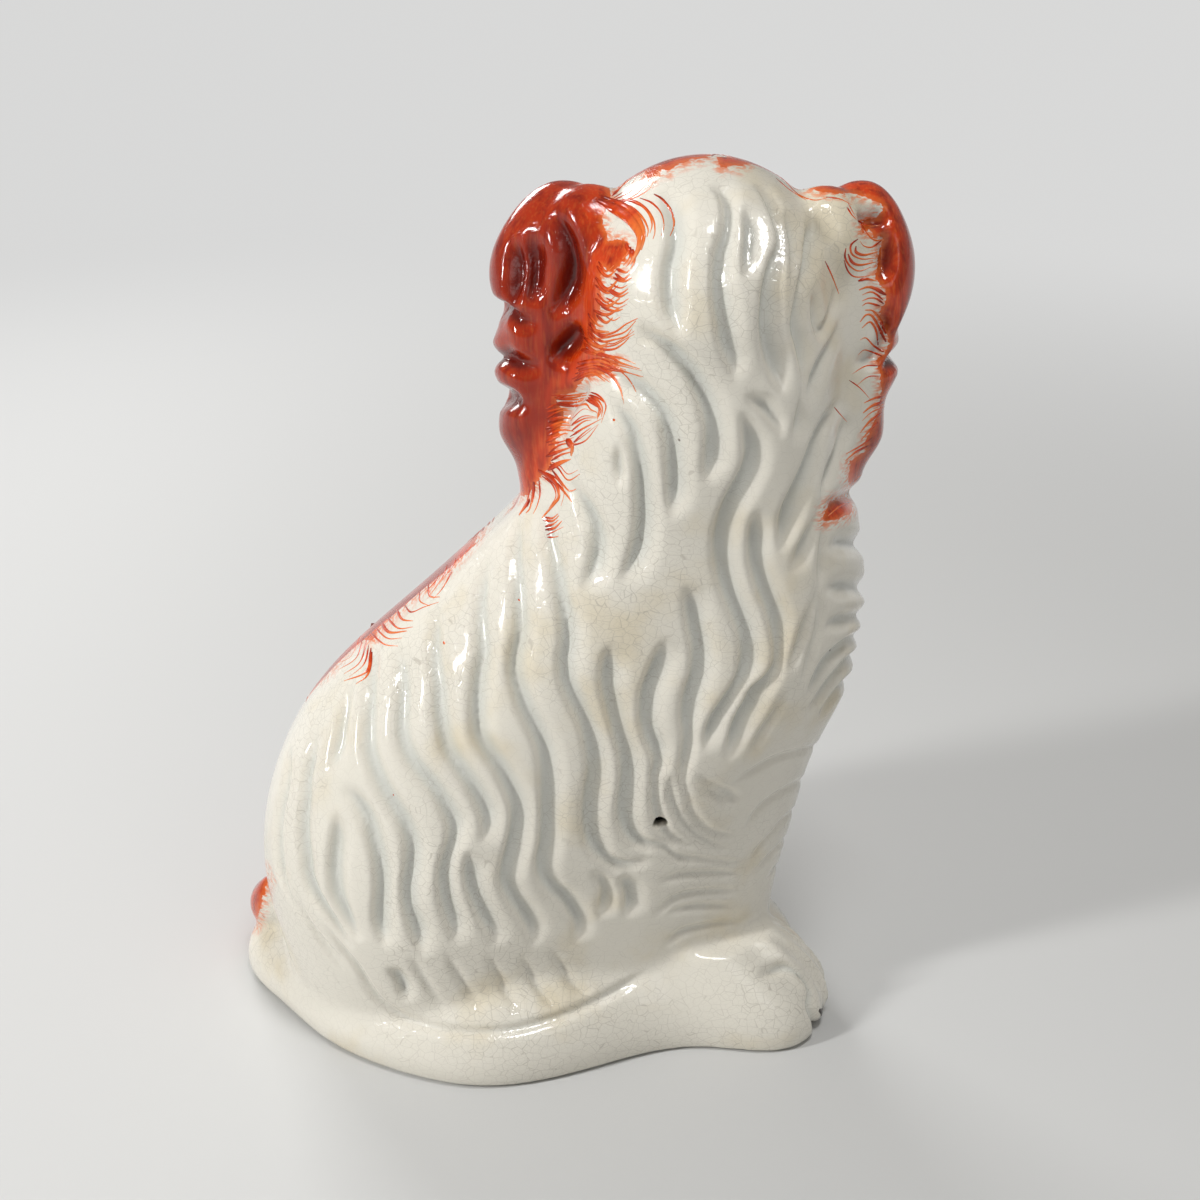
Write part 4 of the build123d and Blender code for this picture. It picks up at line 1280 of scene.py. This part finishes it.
def hollow_form(title):
    """Closed form of the hollow in one half, from the CAD shell's inner faces."""
    shells = bmesh.new()
    shells.from_mesh(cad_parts[title].data)
    bmesh.ops.remove_doubles(shells, verts=shells.verts, dist=WELD)
    drop = []
    for face in shells.faces:
        middle = face.calc_center_median()
        on_rim = all(v.co.z < WELD for v in face.verts)
        from_vent = (Vector((middle.x, middle.z)) - Vector((VENT_AT.x, VENT_AT.z))).length
        if on_seam(face) or on_rim or (from_vent < VENT_CLEAR and middle.y > 0):
            drop.append(face)
    bmesh.ops.delete(shells, geom=drop, context="FACES")
    first = min(shells.faces, key=lambda face: (face.calc_center_median() - HOLLOW_MIDDLE).length)
    reached = joined_faces(first)
    bmesh.ops.delete(shells, geom=[face for face in shells.faces if face not in reached], context="FACES")
    low = [edge for edge in open_edges(shells) if all(v.co.z < RIM_LOW for v in edge.verts)]
    for v in bmesh.ops.extrude_edge_only(shells, edges=low)["geom"]:
        if isinstance(v, bmesh.types.BMVert):
            v.co.z = RIM_DROP
    bmesh.ops.holes_fill(shells, edges=open_edges(shells), sides=0)
    bmesh.ops.triangulate(shells, faces=shells.faces)
    bmesh.ops.recalc_face_normals(shells, faces=shells.faces)
    return piece_from("hollow", shells)


def vent_form():
    """Ragged tool that pierces the back's wall."""
    chance = np.random.default_rng(8)
    tool = bmesh.new()
    bmesh.ops.create_cone(tool, cap_ends=True, cap_tris=True, segments=VENT_SIDES, radius1=VENT_RADIUS,
                          radius2=VENT_RADIUS, depth=VENT_DEPTH, matrix=VENT_TURN)
    for v in tool.verts:
        aside = Vector((v.co.x - VENT_AT.x, v.co.z - VENT_AT.z))
        if aside.length > VENT_RADIUS / 2:
            share = chance.uniform(VENT_LEAST, VENT_MOST)
            v.co.x = VENT_AT.x + aside.x * share
            v.co.z = VENT_AT.z + aside.y * share * VENT_FLAT
    bmesh.ops.recalc_face_normals(tool, faces=tool.faces)
    return piece_from("vent", tool)


def cut(piece, operation, tool):
    part = piece.modifiers.new("cut", "BOOLEAN")
    part.operation = operation
    part.object = tool
    part.solver = "MANIFOLD"
    mesh = evaluated_mesh(piece)
    piece.modifiers.remove(part)
    piece.data = mesh


skin_paint = {title: read_values(combed, title) for title in ("red", "gilt")}
skin_points = KDTree(len(combed.vertices))
for i, v in enumerate(combed.vertices):
    skin_points.insert(v.co, i)
skin_points.balance()


def paint_seam(mesh):
    """The cut leaves no paint on the seam's edge, so the skin's is put back."""
    for title, values in skin_paint.items():
        kept = mesh.attributes[title].data
        for v in mesh.vertices:
            if abs(v.co.y) < WELD:
                near, away = skin_points.find(v.co)[1:]
                if away < SKIN_CELL:
                    kept[v.index].value = values[near]


def half(name, node, side, tools, finish):
    """One pressed half: the clay on its side of the seam, less the tools."""
    piece = new_piece(name, combed.copy())
    block = cutting_block(side)
    cut(piece, "INTERSECT", block)
    bpy.data.objects.remove(block)
    for tool in tools:
        cut(piece, "DIFFERENCE", tool)
    paint_seam(piece.data)
    piece.data.materials.clear()
    piece.data.materials.append(finish)
    piece.data.shade_smooth()
    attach(piece, "root")
    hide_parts(node)


back_hollow = hollow_form("back_shell")
front_hollow = hollow_form("front_shell")
vent = vent_form()
half("glazed_back", "back_shell", 1, (back_hollow, vent), glaze_finish("crazed_glaze_back", False))
half("glazed_front", "front_shell", -1, (front_hollow,), glaze_finish("painted_glaze_front", True))
for tool in (back_hollow, front_hollow, vent, skin):
    bpy.data.objects.remove(tool)

# Strokes. Their enamel is the same red as the patches', thick and dark where the
# brush was set down, and thinning to orange where it was lifted.
brush_red, n, enamel, place = new_finish("brushed_red")
wet = n.maths("ADD", value_of(n, "tip"), about(n, noise(n, place, 420.0), 0.9))
tone = blended(n, stepped(n, wet, -0.25, 0.40), RED_DARK, RED)
tone = blended(n, stepped(n, wet, 0.20, 0.75), tone, RED_THIN)
tone = blended(n, stepped(n, wet, 0.75, 1.25, 0, 0.8), tone, RED_FAINT)
n.put(enamel["Base Color"], tone)
n.put(enamel["Roughness"], 0.16)
red_feathers = painted("red_feathering", red_strokes, brush_red)
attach(red_feathers, "root")

# Face lines. Brows, lashes, mouth and claws are drawn in black with a fine brush.
THIN_BLACK = (0.05, 0.03, 0.02, 1)
LINE_WIDTH, MUZZLE_LINE_WIDTH, CLAW_WIDTH = 0.0011, 0.0009, 0.0026
FACE_STEP_MM = 0.5
# Lines on both sides of the face and down its middle, in millimetres aside and
# above the muzzle's middle, and the claw, by pixels
SIDE_LINES = (
    ((6.5, 22.5), (10, 25.5), (14, 26.5), (19, 24.5)),
    ((7.5, 15.5), (10.5, 13.6), (14, 13.0), (18, 14.4)),
    ((8.2, 20.2), (11, 22.4), (15, 22.6), (19, 19.8)),
    ((0.2, -9.5), (3, -13.2), (8, -14.2), (13, -11.5), (16.5, -8.0)),
)
MIDDLE_LINE = ((0.001, 4.5), (0.001, -1), (0.001, -9.8))
CLAW_LINE = ((819, 1010), (826, 1015), (829, 1024), (824, 1033))


def on_face(line, side=1):
    places = [(FACE_X * 1000 + side * aside, FACE_Z * 1000 + above) for aside, above in line]
    return laid_from_front(combed_tree, places, FACE_STEP_MM)


brush_black, n, enamel, place = new_finish("brushed_black")
n.put(enamel["Base Color"], blended(n, stepped(n, noise(n, place, 500.0), 0.4, 0.75), BLACK, THIN_BLACK))
n.put(enamel["Roughness"], 0.18)
black_strokes = [(on_face(line, side), LINE_WIDTH) for line in SIDE_LINES for side in (1, -1)]
black_strokes.append((on_face(MIDDLE_LINE), MUZZLE_LINE_WIDTH))
black_strokes.append((laid_from_photo(combed_tree, CLAW_LINE, STROKE_STEP_PX), CLAW_WIDTH))
black_lines = painted("black_lines", black_strokes, brush_black)
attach(black_lines, "root")

# Chain. Its links are pressed in low relief from the padlock to the flank.
LINK_PITCH, LINK_RADIUS, WIRE_RADIUS = 0.0029, 0.00125, 0.00042
LINK_SHAPE = (1.35, 0.85, 1.0)
CHAIN_STEP_MM, CHAIN_WIDTH = 0.8, 0.001


def chain_group():
    """Group that sets a link on each step of a line."""
    tree, keys, n, given, result = new_group("chain", {
        "Pitch": "Float", "Link radius": "Float", "Wire radius": "Float", "Gilding": "Material"})
    curve = n.add("GeometryNodeMeshToCurve", {0: given["Geometry"]}).outputs[0]
    spaced = n.add("GeometryNodeResampleCurve", mode="LENGTH",
                   inputs={"Curve": curve, "Length": given["Pitch"]}).outputs[0]

    def circle(corners, radius):
        inputs = {"Resolution": corners, "Radius": radius}
        return n.add("GeometryNodeCurvePrimitiveCircle", inputs, mode="RADIUS").outputs[0]

    ring = circle(16, given["Link radius"])
    wire = circle(8, given["Wire radius"])
    link = n.add("GeometryNodeCurveToMesh", {"Curve": ring, "Profile Curve": wire}).outputs[0]
    long = n.add("GeometryNodeTransform", {"Geometry": link, "Scale": LINK_SHAPE}).outputs[0]
    along = n.add("GeometryNodeInputTangent").outputs[0]
    turn = n.add("FunctionNodeAxesToRotation", primary_axis="Z", secondary_axis="X",
                 inputs={"Primary Axis": n.named("out", "FLOAT_VECTOR"), "Secondary Axis": along})
    placed = n.add("GeometryNodeInstanceOnPoints",
                   {"Points": spaced, "Instance": long, "Rotation": turn.outputs[0]})
    real = n.add("GeometryNodeRealizeInstances", {0: placed.outputs[0]}).outputs[0]
    even = n.add("GeometryNodeSetShadeSmooth", {"Geometry": real}).outputs[0]
    coated = n.add("GeometryNodeSetMaterial", {"Geometry": even, "Material": given["Gilding"]})
    n.put(result, coated.outputs[0])
    return tree, keys


gilding, n, leaf, place = new_finish("worn_gilding")
worn = stepped(n, noise(n, place, 900.0), 0.60, 0.68)
n.put(leaf["Base Color"], blended(n, worn, GOLD, WHITE))
n.put(leaf["Metallic"], n.maths("SUBTRACT", 1.0, worn))
n.put(leaf["Roughness"], stepped(n, noise(n, place, 300.0), 0.3, 0.7, 0.20, 0.34))
chain = brush_mesh("chain_links", [(laid_from_front(combed_tree, CHAIN_WAY, CHAIN_STEP_MM), CHAIN_WIDTH)])
worked(chain, chain_group(), {"Pitch": LINK_PITCH, "Link radius": LINK_RADIUS, "Wire radius": WIRE_RADIUS,
                              "Gilding": gilding})
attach(chain, "root")

# Closing slab. A flat bat of clay luted into the foot, wiped thinly with glaze
# and marked by the kiln.
SLAB, SLAB_STAIN, GRIT = (0.62, 0.585, 0.50, 1), (0.45, 0.38, 0.27, 1), (0.20, 0.15, 0.10, 1)
SMEARS = (60.0, 500.0, 60.0)


def dress(title, finish):
    """Gives a CAD node that stays in view its finish."""
    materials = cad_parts[title].data.materials
    materials.clear()
    materials.append(finish)


slab_finish, n, bat, place = new_finish("thin_glaze_on_slab")
tone = blended(n, stepped(n, noise(n, place, 45.0, 5.0), 0.35, 0.7), SLAB, SLAB_STAIN)
grit = n.add("ShaderNodeTexVoronoi", {"Vector": place, "Scale": 420.0}).outputs["Distance"]
n.put(bat["Base Color"], blended(n, stepped(n, grit, 0.10, 0.20, 0.5, 0), tone, GRIT))
n.put(bat["Roughness"], stepped(n, noise(n, place, 80.0), 0.3, 0.7, 0.30, 0.60))
smears = noise(n, scaled(n, place, SMEARS), 1.0)
wiped = n.maths("ADD", smears, n.maths("MULTIPLY", grit, -0.4))
bump = n.add("ShaderNodeBump", {"Height": wiped, "Strength": 0.4, "Distance": 0.0004})
n.put(bat["Normal"], bump.outputs[0])
dress("base_slab", slab_finish)

# Luting rolls. Coils of the bare body clay pressed along the joints inside.
CLAY, DARK_CLAY = (0.66, 0.58, 0.45, 1), (0.52, 0.43, 0.31, 1)

roll_finish, n, clay, place = new_finish("biscuit_clay")
n.put(clay["Base Color"], blended(n, stepped(n, noise(n, place, 140.0, 5.0), 0.3, 0.7), CLAY, DARK_CLAY))
n.put(clay["Roughness"], stepped(n, noise(n, place, 200.0), 0.3, 0.7, 0.80, 0.95))
rough = noise(n, place, 1500.0, 4.0)
pits = n.add("ShaderNodeBump", {"Height": rough, "Strength": 0.5, "Distance": 0.0003})
n.put(clay["Normal"], pits.outputs[0])
for title in ("base_roll", "seam_roll"):
    dress(title, roll_finish)

# Studio. A pale table that runs out into a pale backdrop of its own colour, a
# narrow tall panel at the left of the camera, one overhead, a weak fill at the
# right, and one that lights the face when it is looked at.
TABLE_COLOUR = (0.60, 0.60, 0.59, 1)
FAR_COLOUR = (0.69, 0.69, 0.685, 1)
TABLE_HALF = 9
FAR_FROM, FAR_FULL = 0.30, 0.95
ROOM_COLOUR, ROOM_STRENGTH = (1.0, 0.985, 0.96, 1), 0.27
LIT_PLACE = Vector((0, 0, 0.12))
# Each lamp: place, width and height of its panel, power
LAMPS = {
    "key": ((0.90, 0.48, 0.62), (0.09, 0.30), 7.8),
    "top": ((-0.15, 0.30, 1.20), (0.22, 0.22), 4.6),
    "fill": ((-0.55, 1.05, 0.75), (0.50, 0.50), 0.9),
    "face": ((0.55, -1.05, 0.65), (0.50, 0.50), 8.5),
}


def seen_by(n, *rays):
    """1 for these kinds of ray, and 0 for the others."""
    paths = n.add("ShaderNodeLightPath").outputs
    seen = paths[rays[0]]
    for ray in rays[1:]:
        seen = n.maths("MAXIMUM", seen, paths[ray])
    return seen


corners = [(x * TABLE_HALF, y * TABLE_HALF, 0) for x, y in ((-1, -1), (1, -1), (1, 1), (-1, 1))]
table_mesh = bpy.data.meshes.new("table")
table_mesh.from_pydata(corners, [], [(0, 1, 2, 3)])
table = new_piece("table", table_mesh)
table_finish, n, paper, place = new_finish("table_paper")
n.put(paper["Base Color"], TABLE_COLOUR)
n.put(paper["Roughness"], 0.7)
out = stepped(n, n.vector("LENGTH", place), FAR_FROM, FAR_FULL)
seen = seen_by(n, "Is Camera Ray", "Is Glossy Ray", "Is Transmission Ray")
far = n.add("ShaderNodeEmission", {"Color": FAR_COLOUR})
shaders = table_finish.node_tree.nodes
blend = n.add("ShaderNodeMixShader", {0: n.maths("MULTIPLY", seen, out),
                                      1: shaders["Principled BSDF"].outputs[0], 2: far.outputs[0]})
n.put(shaders["Material Output"].inputs["Surface"], blend.outputs[0])
table_mesh.materials.append(table_finish)

world = bpy.data.worlds.new("studio")
world.use_nodes = True
n = Nodes(world.node_tree)
room = world.node_tree.nodes["Background"]
n.put(room.inputs["Color"], ROOM_COLOUR)
n.put(room.inputs["Strength"], ROOM_STRENGTH)
backdrop = n.add("ShaderNodeBackground", {"Color": FAR_COLOUR, "Strength": 1.0})
mixed = n.add("ShaderNodeMixShader", {0: seen_by(n, "Is Camera Ray", "Is Transmission Ray"),
                                      1: room.outputs[0], 2: backdrop.outputs[0]})
n.put(world.node_tree.nodes["World Output"].inputs["Surface"], mixed.outputs[0])
scene.world = world

for title, (place, size, power) in LAMPS.items():
    panel = bpy.data.lights.new(title, "AREA")
    panel.shape = "RECTANGLE"
    panel.size, panel.size_y = size
    panel.energy = power
    lamp = bpy.data.objects.new(title, panel)
    lamp.location = place
    lamp.rotation_euler = (LIT_PLACE - Vector(place)).to_track_quat("-Z", "Y").to_euler()
    scene.collection.objects.link(lamp)
